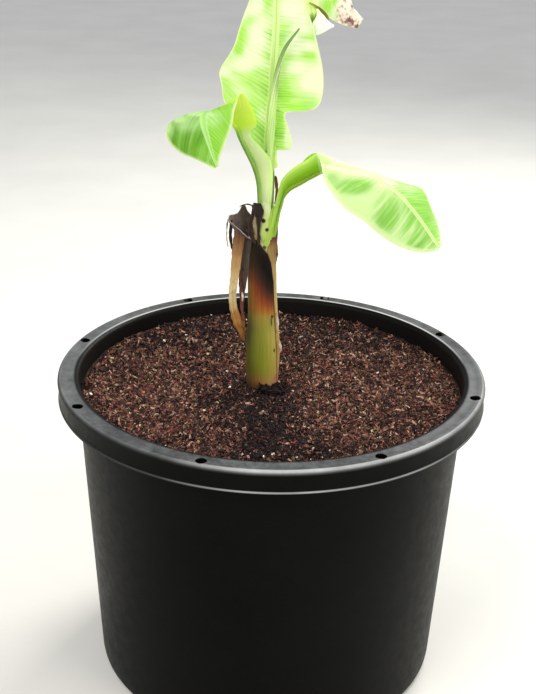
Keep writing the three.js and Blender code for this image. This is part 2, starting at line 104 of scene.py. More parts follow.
def add(tree, kind, inputs=(), operation=None, stops=(), **settings):
    """Adds a shader node and returns one of its outputs, the first unless the setting out names
    another. inputs gives a socket a value, a hex colour or another node's output, operation says what
    a Math node does, and stops gives a colour ramp its places and hex colours."""
    settings = {**USUAL.get(kind, {}), **settings}
    if operation:
        settings["operation"] = operation
    out = settings.pop("out", 0)
    node = tree.nodes.new("ShaderNode" + kind)
    for name, value in settings.items():
        setattr(node, name, value)
    for socket, value in dict(inputs).items():
        if isinstance(value, bpy.types.NodeSocket):
            tree.links.new(value, node.inputs[socket])
        else:
            node.inputs[socket].default_value = linear(value) if isinstance(value, str) else value
    for number, (place, hex_colour) in enumerate(stops):
        elements = node.color_ramp.elements
        stop = elements[number] if number < len(elements) else elements.new(place)
        stop.position = place
        stop.color = linear(hex_colour)
    return node.outputs[out]


def new_material(name):
    """An empty node material and its node tree."""
    material = bpy.data.materials.new(name)
    material.use_nodes = True
    material.node_tree.nodes.clear()
    return material, material.node_tree


def add_output(tree, shader):
    """Links a shader to the material's output."""
    output = tree.nodes.new("ShaderNodeOutputMaterial")
    tree.links.new(shader, output.inputs["Surface"])


# %% Floor and light
FLOOR_SIZE = 60
SKY_STRENGTH = 0.62
LAMPS = {
    "key": {"place": (-1.6, -1.7, 3.2), "aim": (0, 0, 0.7), "size": 2.4, "watts": 74, "tint": "#fffaf0"},
    "fill": {"place": (2.1, -1.5, 2.3), "aim": (0, 0, 0.7), "size": 1.8, "watts": 40, "tint": "#fffbf2"},
    "back": {"place": (1.5, 2.2, 2.6), "aim": (0, 0, 0.9), "size": 1.6, "watts": 100, "tint": "#fffdf2"},
}


def make_floor():
    """A flat pale floor through z = 0, with a faint mottle as on trowelled plaster."""
    half = FLOOR_SIZE / 2
    mesh = bpy.data.meshes.new("floor")
    corners = [(-half, -half, 0), (half, -half, 0), (half, half, 0), (-half, half, 0)]
    mesh.from_pydata(corners, [], [(0, 1, 2, 3)])
    material, tree = new_material("pale_plaster")
    place = add(tree, "TexCoord", out="Object")
    mottle = add(tree, "TexNoise", {"Vector": place, "Scale": 3.0, "Detail": 4.0})
    colour = add(tree, "ValToRGB", {0: mottle}, stops=[(0.3, "#e6e5e1"), (0.7, "#edece8")])
    add_output(tree, add(tree, "BsdfPrincipled", {"Base Color": colour, "Roughness": 0.9}))
    mesh.materials.append(material)
    floor = bpy.data.objects.new("floor", mesh)
    bpy.context.collection.objects.link(floor)


def make_lamp(name, place, aim, size, watts, tint):
    """A square area lamp at place that faces aim."""
    data = bpy.data.lights.new(name, "AREA")
    data.size = size
    data.energy = watts
    data.color = linear(tint)[:3]
    lamp = bpy.data.objects.new(name, data)
    lamp.location = place
    lamp.rotation_euler = (Vector(aim) - Vector(place)).to_track_quat("-Z", "Y").to_euler()
    bpy.context.collection.objects.link(lamp)


def make_sky():
    """An even pale sky."""
    world = bpy.data.worlds.new("sky")
    world.use_nodes = True
    background = world.node_tree.nodes["Background"]
    background.inputs["Color"].default_value = linear("#f2f5f8")
    background.inputs["Strength"].default_value = SKY_STRENGTH
    bpy.context.scene.world = world


make_floor()
make_sky()
for lamp_name, lamp in LAMPS.items():
    make_lamp(lamp_name, **lamp)
bpy.context.scene.view_settings.view_transform = "Standard"
print("lamps:", ", ".join(LAMPS))

# %% [markdown]
# ## From arrays to meshes
#
# Each piece is a grid: rows one way, columns the other, with a point worked out for every crossing by
# numpy, all at once. A grid turns into a mesh by joining neighbouring points with quads. A leaf has two
# such skins, upper and under, and a narrow wall of quads round its edge closes them into one thin body.
# A tube is a grid whose last column joins its first, closed by a fan of triangles at each end.
# Numbers that belong to a point, such as how far it is from the leaf's edge, are kept with the mesh as
# named fields, so that the material can read them.

# %% Grids and closed bodies


def grid_quads(rows, columns, closed=False):
    """Corner numbers of the quads of a grid. closed joins the last column to the first."""
    number = np.arange(rows * columns).reshape(rows, columns)
    if closed:
        number = np.concatenate([number, number[:, :1]], axis=1)
    corners = [number[:-1, :-1], number[:-1, 1:], number[1:, 1:], number[1:, :-1]]
    return np.stack(corners, axis=-1).reshape(-1, 4)


def outward(points, faces):
    """The faces, turned over if the body they close has a negative volume. The volume is the sum of
    the signed tetrahedra between each face's triangles and the origin."""
    corner = [points[faces[:, i]] for i in range(faces.shape[1])]
    volume = 0
    for second, third in zip(corner[1:-1], corner[2:]):
        volume += np.einsum("ij,ij->", corner[0], np.cross(second, third))
    return faces if volume > 0 else faces[:, ::-1]


def slab(upper, under):
    """Points and faces of the thin closed body between two grids of the same size: the two skins, and
    a wall along the loop of points round their edge."""
    rows, columns = upper.shape[:2]
    skin = grid_quads(rows, columns)
    number = np.arange(rows * columns).reshape(rows, columns)
    loop = np.concatenate([number[0, :-1], number[:-1, -1], number[-1, :0:-1], number[:0:-1, 0]])
    ahead = np.roll(loop, -1)
    count = rows * columns
    wall = np.stack([loop, loop + count, ahead + count, ahead], axis=-1)
    points = np.concatenate([upper.reshape(-1, 3), under.reshape(-1, 3)])
    return points, outward(points, np.concatenate([skin, skin[:, ::-1] + count, wall]))


def capped(wall):
    """Points, quads and end triangles of a tube. The columns of its grid run round it, and each end is
    closed by triangles to one more point, the middle of the end's ring."""
    rows, columns = wall.shape[:2]
    count = rows * columns
    foot = np.arange(columns)
    top = foot + count - columns
    fans = [np.stack([np.full(columns, count), np.roll(foot, -1), foot], axis=-1),
            np.stack([np.full(columns, count + 1), top, np.roll(top, -1)], axis=-1)]
    points = np.concatenate([wall.reshape(-1, 3), wall[[0, -1]].mean(axis=1)])
    return points, grid_quads(rows, columns, closed=True), np.concatenate(fans)


def joined(bodies):
    """Points and faces of several bodies as one. Each body is its points, quads and triangles."""
    points, faces, start = [], [], 0
    for body, quads, triangles in bodies:
        points.append(body)
        faces += [outward(body, quads) + start, triangles + start]
        start += len(body)
    return np.concatenate(points), faces


# %% Pieces


def make_piece(name, points, faces, materials, fields=(), picks=None, sharp_degrees=50):
    """A smooth-shaded mesh object at the origin, with sharp edges where faces meet at a steeper angle.
    points are in millimetres, and faces is one array of corner numbers or a list of such arrays.
    fields are named numbers, one for each point, and picks gives each face the number of its material."""
    faces = faces if isinstance(faces, list) else [faces]
    corners = np.concatenate([part.ravel() for part in faces]).astype(np.int32)
    sizes = np.concatenate([np.full(len(part), part.shape[1], np.int32) for part in faces])
    mesh = bpy.data.meshes.new(name)
    mesh.vertices.add(len(points))
    mesh.vertices.foreach_set("co", (points * MM).astype(np.float32).ravel())
    mesh.loops.add(len(corners))
    mesh.loops.foreach_set("vertex_index", corners)
    mesh.polygons.add(len(sizes))
    mesh.polygons.foreach_set("loop_start", (np.cumsum(sizes) - sizes).astype(np.int32))
    for material in materials:
        mesh.materials.append(material)
    if picks is not None:
        mesh.polygons.foreach_set("material_index", picks.astype(np.int32))
    for field, values in dict(fields).items():
        attribute = mesh.attributes.new(field, "FLOAT", "POINT")
        attribute.data.foreach_set("value", values.astype(np.float32).ravel())
    mesh.update(calc_edges=True)
    mesh.shade_smooth()
    mesh.set_sharp_from_angle(angle=math.radians(sharp_degrees))
    piece = bpy.data.objects.new(name, mesh)
    bpy.context.collection.objects.link(piece)
    return piece


def place_piece(piece, slot, *nodes):
    """The piece rides on the plant and stands for CAD nodes, which it hides. The argument slot is not used.
    """
    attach(piece, "root")
    if nodes:
        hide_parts(*nodes)
    print(piece.name, len(piece.data.polygons), "faces")


# %% [markdown]
# Living things are never even. Two helpers bring in that unevenness, and each gives the same result
# every time because its random numbers have a fixed seed: a wandering curve, and a field of soft lumps
# in space. Two more shape where things happen: a smooth step from 0 to 1, and a bell curve.

# %% Unevenness


def eased(w):
    """A share from 0 to 1, with a level start and end: w * w * (3 - 2 * w)."""
    return w * w * (3 - 2 * w)


def step(x, low, high):
    """0 below low, 1 above high, and a smooth S between them. It falls where low is above high."""
    return eased(np.clip((x - low) / (high - low), 0, 1))


def bell(x, middle=0, reach=1):
    """A bell curve, exp(-q ** 2) with q = (x - middle) / reach: 1 at the middle and near 0 from two
    reaches away."""
    return np.exp(-((x - middle) / reach) ** 2)


def wander(x, seed, period=997):
    """A smooth random curve from -1 to 1, with a new value at each whole x and eased blends between."""
    values = np.random.default_rng(seed).uniform(-1, 1, period)
    whole = np.floor(x).astype(int)
    w = eased(x - whole)
    return values[whole % period] * (1 - w) + values[(whole + 1) % period] * w


def lumps(points, size, seed, period=31):
    """Soft lumps from -1 to 1 in space, each about one size across: random values on the corners of a
    cubic lattice, blended between the eight corners round a point."""
    values = np.random.default_rng(seed).uniform(-1, 1, (period,) * 3)
    scaled = points / size
    whole = np.floor(scaled).astype(int)
    w = eased(scaled - whole)
    total = np.zeros(points.shape[:-1])
    for corner in np.ndindex(2, 2, 2):
        share = np.prod(np.where(corner, w, 1 - w), axis=-1)
        at = (whole + corner) % period
        total += share * values[at[..., 0], at[..., 1], at[..., 2]]
    return total


print("a wandering curve:", np.round(wander(np.arange(0, 2, 0.5), 1), 2))

# %% [markdown]
# ## The pot
#
# A nursery pot of this size is moulded in black polypropylene: a tapering wall, a broad flat rim that
# turns down into a skirt, and a small bead along the skirt's foot that stiffens it. Every edge is
# rounded, and those rounded edges are what catch the light, so the profile needs fine arcs there. The
# pot could be drawn with a Screw modifier. Here the profile is turned as an array, so that the number
# of segments and the arcs stay plain numbers, and the holes are cut with a Boolean.

# %% Pot sizes
RIM_RADIUS = 325
POT_HEIGHT = 490
RIM_INNER_RADIUS = 300
RIM_THICKNESS = 5
RIM_ROUNDING = 6
SKIRT_DEPTH = 36
BEAD_RADIUS = 2.5
WALL_TOP_RADIUS = 297
WALL_BOTTOM_RADIUS = 271
WALL_THICKNESS = 5
FLOOR_THICKNESS = 6
FOOT_ROUNDING = 10
HOLE_RINGS = {
    "rim": {"count": 8, "radius": 8, "circle": 313, "first_degrees": 28.1, "height": POT_HEIGHT},
    "drain": {"count": 8, "radius": 10, "circle": 225, "first_degrees": 0, "height": 0},
}
POT_SEGMENTS = 240


def wall_radius(z):
    """Outer radius of the tapering wall at a height."""
    return WALL_BOTTOM_RADIUS + (WALL_TOP_RADIUS - WALL_BOTTOM_RADIUS) * z / POT_HEIGHT


def arc(centre, radius, start, end, steps=8):
    """Points of a circular arc in the profile's plane, from one angle in degrees to another."""
    angle = np.radians(np.linspace(start, end, steps))
    return np.stack([centre[0] + radius * np.cos(angle), centre[1] + radius * np.sin(angle)], axis=-1)


def pot_profile():
    """Radius and height round the section of the pot: out along the underside, up the wall, over the
    rim and its skirt, and down the inside to the floor. The rim's top is flat to within 0.8 mm."""
    skirt_foot = POT_HEIGHT - SKIRT_DEPTH
    skirt_inner = RIM_RADIUS - RIM_THICKNESS
    under_rim = POT_HEIGHT - RIM_THICKNESS
    lip = RIM_INNER_RADIUS - wall_radius(POT_HEIGHT) + WALL_THICKNESS
    wall_heights = np.linspace(FOOT_ROUNDING + 4, under_rim - 8, 24)
    inner_heights = np.linspace(POT_HEIGHT - lip - 2, FLOOR_THICKNESS + 8, 24)
    parts = [
        [[WALL_BOTTOM_RADIUS - FOOT_ROUNDING - 4, 0]],
        arc((WALL_BOTTOM_RADIUS - FOOT_ROUNDING, FOOT_ROUNDING), FOOT_ROUNDING, -90, 0),
        np.stack([wall_radius(wall_heights), wall_heights], axis=-1),
        [[wall_radius(under_rim) + 4, under_rim]],
        arc((skirt_inner - 3, under_rim - 3), 3, 90, 0, 5),
        [[skirt_inner - 1, skirt_foot + 2 * BEAD_RADIUS]],
        arc((RIM_RADIUS - BEAD_RADIUS, skirt_foot + BEAD_RADIUS), BEAD_RADIUS, -150, 60, 12),
        [[RIM_RADIUS - 1, skirt_foot + 3 * BEAD_RADIUS], [RIM_RADIUS - 1.2, POT_HEIGHT - 12]],
        arc((RIM_RADIUS - RIM_ROUNDING, POT_HEIGHT - RIM_ROUNDING), RIM_ROUNDING, 0, 90, 12),
        arc((RIM_RADIUS - RIM_ROUNDING - 3, POT_HEIGHT - 0.8), 0.8, 80, 90, 2),
        [[RIM_RADIUS - 12, POT_HEIGHT - 0.7], [RIM_INNER_RADIUS + 7, POT_HEIGHT - 0.7]],
        arc((RIM_INNER_RADIUS, POT_HEIGHT - lip), lip, 85, 180, 12),
        np.stack([wall_radius(inner_heights) - WALL_THICKNESS, inner_heights], axis=-1),
        [[wall_radius(FLOOR_THICKNESS) - WALL_THICKNESS - 5, FLOOR_THICKNESS]],
    ]
    return np.concatenate([np.asarray(part, float) for part in parts])


def turned(profile, segments):
    """A closed body from a profile turned about Z: each radius and height becomes a ring. The middles of
    its two ends are set exactly on the axis."""
    angle = np.linspace(0, 2 * np.pi, segments, endpoint=False)
    x, y = profile[:, :1] * np.cos(angle), profile[:, :1] * np.sin(angle)
    points, quads, fans = capped(np.stack([x, y, profile[:, 1:] + 0 * x], axis=-1))
    points[-2:, :2] = 0
    return points, quads, fans


# %% Pot material
# Bands of painted highlight on the pot: the rim's outer edge, the bead and the rim's inner edge.
PAINTED_HIGHLIGHT_LINES = {
    "outer edge": (RIM_RADIUS - 2.8, 3.0), "edge height": (POT_HEIGHT - 2.5, 5.0),
    "bead": (RIM_RADIUS - 0.5, 1.2), "bead height": (POT_HEIGHT - SKIRT_DEPTH + 3.5, 1.6),
    "inner edge": (RIM_INNER_RADIUS + 0.2, 2.6),
}


def band(tree, value, middle, half):
    """1 where a value lies near the middle, and 0 from a half width away."""
    away = add(tree, "Math", {0: value, 1: middle}, "SUBTRACT")
    away = add(tree, "Math", {0: away}, "ABSOLUTE")
    return add(tree, "MapRange", {0: away, 1: 0.4 * half, 2: half, 3: 1.0, 4: 0.0})


def painted_highlight_band(tree, value, name):
    """A band at one of the painted highlight lines, whose middle and half width are in mm."""
    middle, half = PAINTED_HIGHLIGHT_LINES[name]
    return band(tree, value, middle * MM, half * MM)


def surface(tree, colour, pattern, rough, relief, strength, depth_mm, more=()):
    """A surface whose roughness runs between two values with a pattern of noise, and whose relief is a
    bump of some strength and depth."""
    roughness = add(tree, "MapRange", {0: pattern, 1: 0.3, 2: 0.7, 3: rough[0], 4: rough[1]})
    normal = add(tree, "Bump", {"Strength": strength, "Distance": depth_mm * MM, "Height": relief})
    return add(tree, "BsdfPrincipled", {
        "Base Color": colour, "Roughness": roughness, "Normal": normal, **dict(more),
    })


def black_polypropylene():
    """Injection-moulded black polypropylene that has stood outdoors: a soft satin gloss, fine round
    marks from the mould, and a grey film on what faces up, partly dust and partly a painted sheen, with a
    few water stains. Painted highlights run along the rim's outer edge and the bead, most at the front,
    and at the back along the rim's inner edge."""
    material, tree = new_material("black_polypropylene")
    place = add(tree, "TexCoord", out="Object")
    normal = add(tree, "NewGeometry", out="Normal")
    across = add(tree, "VectorMath", {0: place, 1: (1.0, 1.0, 0.0)}, "MULTIPLY")
    radius = add(tree, "VectorMath", {0: across}, "LENGTH", out=1)
    x, y, height = (add(tree, "SeparateXYZ", {0: place}, out=axis) for axis in "XYZ")
    cloud = add(tree, "TexNoise", {"Vector": place, "Scale": 9.0, "Detail": 5.0, "Roughness": 0.62})
    scuff = add(tree, "TexNoise", {"Vector": place, "Scale": 60.0, "Detail": 6.0, "Roughness": 0.7})
    patches = add(tree, "MapRange", {0: cloud, 1: 0.3, 2: 0.7, 3: 0.45})

    on_rim = add(tree, "MapRange", {0: height, 1: (POT_HEIGHT - 6) * MM, 2: (POT_HEIGHT - 1.5) * MM})
    flat_from, flat_to = (RIM_INNER_RADIUS - 1.5) * MM, (RIM_INNER_RADIUS + 2) * MM
    on_flat = add(tree, "MapRange", {0: radius, 1: flat_from, 2: flat_to})
    up = add(tree, "SeparateXYZ", {0: normal}, out="Z")
    # A grey film on what faces up on the rim's flat top, partly dust and partly a painted sheen, paler
    # towards the far left and right.
    dust_and_sheen = add(tree, "MapRange", {0: up, 1: 0.7, 2: 0.98})
    for share in (on_rim, on_flat, patches):
        dust_and_sheen = add(tree, "Math", {0: dust_and_sheen, 1: share}, "MULTIPLY")
    dust_and_sheen_tone = add(tree, "ValToRGB", {0: scuff}, stops=[(0.35, "#46474a"), (0.62, "#696b6e")])
    far_out = add(tree, "Math", {0: x}, "ABSOLUTE")
    far_out = add(tree, "MapRange", {0: far_out, 1: 180 * MM, 2: 310 * MM, 4: 0.33})
    dust_and_sheen_tone = add(tree, "Mix", {0: far_out, 6: dust_and_sheen_tone, 7: "#8c8f92"})
    stain = add(tree, "TexNoise", {"Vector": place, "Scale": 26.0, "Detail": 3.0})
    stain = add(tree, "MapRange", {0: stain, 1: 0.63, 2: 0.7, 4: 0.55})
    stain = add(tree, "Math", {0: stain, 1: dust_and_sheen}, "MULTIPLY")

    # Painted highlights along the rim's outer edge and the bead, faint on the left and dimmer on the far
    # right, and along the inner edge at the back.
    edge = add(tree, "Math", {
        0: painted_highlight_band(tree, radius, "outer edge"), 1: painted_highlight_band(tree, height, "edge height"),
    }, "MULTIPLY")
    bead = add(tree, "Math", {
        0: painted_highlight_band(tree, radius, "bead"), 1: painted_highlight_band(tree, height, "bead height"),
    }, "MULTIPLY")
    bead = add(tree, "Math", {0: bead, 1: 0.7}, "MULTIPLY")
    painted_highlight = add(tree, "Math", {0: edge, 1: bead}, "ADD", use_clamp=True)
    highlight_fade_left = add(tree, "MapRange", {0: x, 1: -150 * MM, 2: 0.0, 3: 0.14})
    highlight_fade_right = add(tree, "MapRange", {0: x, 1: 60 * MM, 2: 280 * MM, 3: 1.0, 4: 0.5})
    for share in (patches, highlight_fade_left, highlight_fade_right):
        painted_highlight = add(tree, "Math", {0: painted_highlight, 1: share}, "MULTIPLY")
    inner_edge_highlight = painted_highlight_band(tree, radius, "inner edge")
    at_back = add(tree, "MapRange", {0: y, 1: 20 * MM, 2: 200 * MM, 4: 0.9})
    for share in (on_rim, at_back):
        inner_edge_highlight = add(tree, "Math", {0: inner_edge_highlight, 1: share}, "MULTIPLY")
    painted_highlight = add(tree, "Math", {0: painted_highlight, 1: inner_edge_highlight}, "MAXIMUM")

    smear = add(tree, "MapRange", {0: scuff, 1: 0.56, 2: 0.74, 4: 0.35})
    inward = add(tree, "VectorMath", {0: normal, 1: across}, "DOT_PRODUCT", out=1)
    inside = add(tree, "MapRange", {0: inward, 1: -0.1, 2: -0.25})
    colour = add(tree, "ValToRGB", {0: cloud}, stops=[(0.3, "#050605"), (0.7, "#090a09")])
    coats = ((smear, "#131413"), (dust_and_sheen, dust_and_sheen_tone), (stain, "#3b332c"), (inside, "#171514"), (painted_highlight, "#c8c9cc"))
    for amount, tone in coats:
        colour = add(tree, "Mix", {0: amount, 6: colour, 7: tone})
    gloss = add(tree, "MapRange", {0: painted_highlight, 3: 0.05, 4: 0.4})
    mould_lines = add(tree, "TexWave", {
        "Vector": place, "Scale": 110.0, "Distortion": 1.2, "Detail": 2.0,
    }, out=1, wave_type="BANDS", bands_direction="Z")
    relief = add(tree, "Math", {0: mould_lines, 1: scuff}, "ADD")
    satin = surface(tree, colour, scuff, (0.34, 0.5), relief, 0.12, 0.6, {"Specular IOR Level": gloss})
    add_output(tree, satin)
    return material


# %% Make the pot
CUTTER_HALF_LENGTH = 15


def hole_places(ring):
    """The angles of a ring of evenly spaced holes, in radians."""
    return np.radians(ring["first_degrees"] + 360 * np.arange(ring["count"]) / ring["count"])


def hole_cutters():
    """A closed cylinder for each hole of the rim and the floor."""
    solids = []
    for ring in HOLE_RINGS.values():
        profile = np.array([[ring["radius"], z] for z in (-CUTTER_HALF_LENGTH, CUTTER_HALF_LENGTH)], float)
        for angle in hole_places(ring):
            points, quads, fans = turned(profile, 40)
            middle = [ring["circle"] * math.cos(angle), ring["circle"] * math.sin(angle), ring["height"]]
            solids.append((points + middle, quads, fans))
    return solids


def make_pot():
    """The turned profile, with its holes cut by a Boolean whose result is kept as the mesh."""
    pot = make_piece("nursery_pot", *joined([turned(pot_profile(), POT_SEGMENTS)]), [black_polypropylene()])
    cutter = make_piece("hole_cutter", *joined(hole_cutters()), [])
    cut = pot.modifiers.new("holes", "BOOLEAN")
    cut.object = cutter
    cut.operation = "DIFFERENCE"
    cut.solver = "EXACT"
    ready = pot.evaluated_get(bpy.context.evaluated_depsgraph_get())
    mesh = bpy.data.meshes.new_from_object(ready)
    pot.modifiers.clear()
    pot.data = mesh
    bpy.data.objects.remove(cutter)
    mesh.shade_smooth()
    mesh.set_sharp_from_angle(angle=math.radians(40))
    return pot


place_piece(make_pot(), "pot", "pot")

# %% Webs under the rim
WEBS = {"thickness": 2.5, "beside_hole": 12, "foot": 459}
BOX_FACES = np.array([[0, 1, 3, 2], [4, 6, 7, 5], [0, 4, 5, 1], [2, 3, 7, 6], [0, 2, 6, 4], [1, 5, 7, 3]])


def make_webs():
    """Moulded webs that stiffen the rim from below, one on each side of every rim hole. Each is a thin
    upright box that runs out from the wall to the skirt, bedded 1 mm into both."""
    ring = HOLE_RINGS["rim"]
    box = np.array(list(np.ndindex(2, 2, 2))) - [0, 0.5, 0]
    inner, outer = wall_radius(WEBS["foot"]) - 1, RIM_RADIUS - RIM_THICKNESS + 1
    tall = POT_HEIGHT - RIM_THICKNESS + 1 - WEBS["foot"]
    x, y, z = (box * [outer - inner, WEBS["thickness"], tall] + [inner, 0, WEBS["foot"]]).T
    solids = []
    for angle in hole_places(ring):
        for side in (-1, 1):
            turn = angle + side * WEBS["beside_hole"] / ring["circle"]
            place = np.stack([x * math.cos(turn) - y * math.sin(turn),
                              x * math.sin(turn) + y * math.cos(turn), z], axis=-1)
            solids.append((place, BOX_FACES, np.zeros((0, 3), int)))
    return make_piece("rim_webs", *joined(solids), [bpy.data.materials["black_polypropylene"]])


place_piece(make_webs(), "pot")

# %% [markdown]
# ## The potting mix
#
# The pot is filled to 3 cm below its rim with fine bark: reddish-brown slivers 3 to 10 mm long, with
# some redder ones and a few pale crumbs of wood, shell and grit. A displaced disc alone would look
# like mud. A particle system would give loose slivers, but it doesn't survive an export. So a lumpy bed
# is made first, and then thousands of wedges with six corners each are laid on it, all at once in one
# array. Each wedge takes one plain colour from a small family. Along streaks from the stem to the
# front and a little to the left the bark is darker, and towards the back painted shade darkens it. A
# small dark hollow lies at the stem's foot, strewn with dark clumps.

# %% Potting mix sizes
SOIL_LEVEL = 460
SOIL_RADIUS = wall_radius(SOIL_LEVEL) - WALL_THICKNESS
STEM_FOOT = (-13.9, 12.5)
STEM_CLEAR = 24.5
HOLLOW = {"middle": (6, -28), "radius": 15, "depth": 7}
DIP = {"middle": (-12, 4), "radius": 40, "depth": 4.5}
SOIL_LUMPS = ((3.2, 46, 1), (2.0, 17, 2), (1.1, 7, 3))
DARK_STREAKS = [
    {"start": (-8, -25), "end": (-10, -235), "width": 64, "strength": 0.95},
    {"start": (-20, -45), "end": (-92, -52), "width": 30, "strength": 0.85},
    {"start": (-4, -212), "end": (72, -226), "width": 34, "strength": 0.8},
]


def streak_darkness(x, y):
    """Up to 1 along the dark streaks and 0 away from them: the highest of their bell curves, each of the
    distance to a line from start to end, roughened by lumps."""
    rough = lumps(np.stack([x, y, 0 * x], axis=-1), 26, 5)
    in_streak = np.zeros(np.shape(x))
    for streak in DARK_STREAKS:
        start, end = np.array(streak["start"], float), np.array(streak["end"], float)
        run = end - start
        place = np.stack([x, y], axis=-1) - start
        along = np.clip(place @ run / (run @ run), 0, 1)
        away = np.linalg.norm(place - along[..., None] * run, axis=-1)
        in_streak = np.maximum(in_streak, streak["strength"] * np.exp(-(away / streak["width"]) ** 2 * (1.6 - rough)))
    return in_streak


def sunk(pit, x, y):
    """How deep a round pit lies at a place: its depth times a bell curve of the distance."""
    away = np.hypot(x - pit["middle"][0], y - pit["middle"][1])
    return pit["depth"] * bell(away, reach=pit["radius"])


def soil_height(x, y):
    """The soil's height: level, with lumps of three sizes, a shallow dip round the stem, a hollow in
    front of it and a slight rise towards the wall."""
    place = np.stack([x, y, 0 * x], axis=-1)
    rough = sum(high * lumps(place, size, seed) for high, size, seed in SOIL_LUMPS)
    rise = 4 * step(SOIL_RADIUS - np.hypot(x, y), 40, 0)
    return SOIL_LEVEL - 2 + rough - (sunk(DIP, x, y) + sunk(HOLLOW, x, y)) + rise


# %% Bark materials
BARK_FAMILY = {
    "black_bark": ("#130b0d", "#27181a"),
    "brown_bark": ("#38241f", "#583a32"),
    "tan_bark": ("#5e4634", "#8c6c50"),
    "russet_bark": ("#643630", "#925a4c"),
    "pinkish_bark": ("#926c5c", "#c8a490"),
}
CRUMB_FAMILY = {
    "straw_crumb": ("#c2a566", "#f0dca6"),
    "white_grit": ("#d8cdb2", "#f8f0dc"),
    "red_chip": ("#84302e", "#a84c46"),
}


def bark(name, dark, light, grain_mm=1.2, rough=0.85):
    """Composted pine bark: fibrous and dull, each sliver streaked lighter and darker along its grain.
    The noise is four grains wide, because a finer one wouldn't show."""
    material, tree = new_material(name)
    place = add(tree, "TexCoord", out="Object")
    grain = add(tree, "TexNoise", {
        "Vector": place, "Scale": 1 / (grain_mm * MM) / 4, "Detail": 3.0, "Roughness": 0.65,
    })
    colour = add(tree, "ValToRGB", {0: grain}, stops=[(0.36, dark), (0.64, light)])
    normal = add(tree, "Bump", {"Strength": 0.5, "Distance": 0.5 * MM, "Height": grain})
    add_output(tree, add(tree, "BsdfPrincipled", {
        "Base Color": colour, "Roughness": rough, "Specular IOR Level": 0.3, "Normal": normal,
    }))
    return material


# %% Make the bed
BED_DEPTH = 26


def make_bed(rings=110, spokes=400):
    """A disc of rings and spokes that follows the soil's height, closed underneath by a second, flat
    disc a little lower."""
    radius = np.linspace(0.4, SOIL_RADIUS - 0.2, rings)[:, None]
    angle = np.linspace(0, 2 * np.pi, spokes, endpoint=False)[None, :]
    x, y = radius * np.cos(angle), radius * np.sin(angle)
    upper = np.stack([x, y, soil_height(x, y)], axis=-1)
    under = np.stack([x, y, SOIL_LEVEL - BED_DEPTH + 0 * x], axis=-1)
    points = np.concatenate([upper.reshape(-1, 3), under.reshape(-1, 3)])
    skin = grid_quads(rings, spokes, closed=True)
    count = rings * spokes
    a = np.arange(spokes)
    b = np.roll(a, -1)
    wall = np.stack([a, a + count, b + count, b], axis=-1)
    faces = np.concatenate([skin[:, ::-1], skin + count, wall[:, ::-1], wall + count - spokes])
    return make_piece("bark_bed", points, outward(points, faces), [bark("bed_bark", "#1f1411", "#3d2922", 3)])


place_piece(make_bed(), "potting_mix", "potting_mix")

# %% Lay the slivers
WEDGE = np.array([
    [-0.5, -0.5, -0.3], [-0.5, 0.5, -0.5], [-0.42, 0.05, 0.5],
    [0.5, -0.35, -0.4], [0.46, 0.4, -0.2], [0.5, 0.0, 0.35],
])
WEDGE_FACES = np.array([
    [0, 1, 2], [3, 5, 4], [0, 3, 4], [0, 4, 1], [1, 4, 5], [1, 5, 2], [2, 5, 3], [2, 3, 0],
])


def turn_about(axis, angle):
    """Rotation matrices about the x, y or z axis (0, 1 or 2), one for each angle."""
    a, b = (axis + 1) % 3, (axis + 2) % 3
    turns = np.zeros((len(angle), 3, 3))
    turns[:, axis, axis] = 1
    turns[:, a, a] = turns[:, b, b] = np.cos(angle)
    turns[:, a, b], turns[:, b, a] = -np.sin(angle), np.sin(angle)
    return turns


def scatter_wedges(count, length, seed, tilt=0.55, rise=3.0, slim=(0.2, 0.5), middle=(0, 0), reach=None):
    """Corners of wedges spread evenly over the soil, or over a circle round a middle. Each is stretched to
    a random length, breadth and thickness, its corners are shifted a little, and it is tilted, turned
    and set down on the bed. Their places keep clear of the stem and of the pot's wall."""
    draw = np.random.default_rng(seed)
    radius = (reach or SOIL_RADIUS - 4) * np.sqrt(draw.uniform(0, 1, count))
    angle = draw.uniform(0, 2 * np.pi, count)
    x, y = middle[0] + radius * np.cos(angle), middle[1] + radius * np.sin(angle)
    clear = np.hypot(x - STEM_FOOT[0], y - STEM_FOOT[1]) > STEM_CLEAR
    x, y = x[clear], y[clear]
    count = len(x)
    long = np.exp(draw.uniform(np.log(length[0]), np.log(length[1]), count))
    broad = long * draw.uniform(*slim, count)
    thick = broad * draw.uniform(0.35, 0.9, count)
    size = np.stack([long, broad, thick], axis=-1)
    corners = (WEDGE + draw.uniform(-0.16, 0.16, (count, 6, 3))) * size[:, None]
    turns = turn_about(2, draw.uniform(0, 2 * np.pi, count))
    turns = turns @ turn_about(1, draw.normal(0, tilt, count))
    turns = turns @ turn_about(0, draw.uniform(0, 2 * np.pi, count))
    corners = np.einsum("nij,nkj->nki", turns, corners)
    z = soil_height(x, y) + draw.uniform(-1.5, rise, count)
    corners += np.stack([x, y, z], axis=-1)[:, None]
    from_axis = np.hypot(corners[..., 0], corners[..., 1]).max(axis=1)
    return corners[from_axis < SOIL_RADIUS - 0.5]


def lay_wedges(name, corners, materials, picks):
    """One mesh of all the wedges, each with the material that its pick names."""
    faces = WEDGE_FACES[None] + 6 * np.arange(len(corners))[:, None, None]
    piece = make_piece(name, corners.reshape(-1, 3), faces.reshape(-1, 3), materials,
                       picks=np.repeat(picks, len(WEDGE_FACES)), sharp_degrees=35)
    place_piece(piece, "potting_mix")


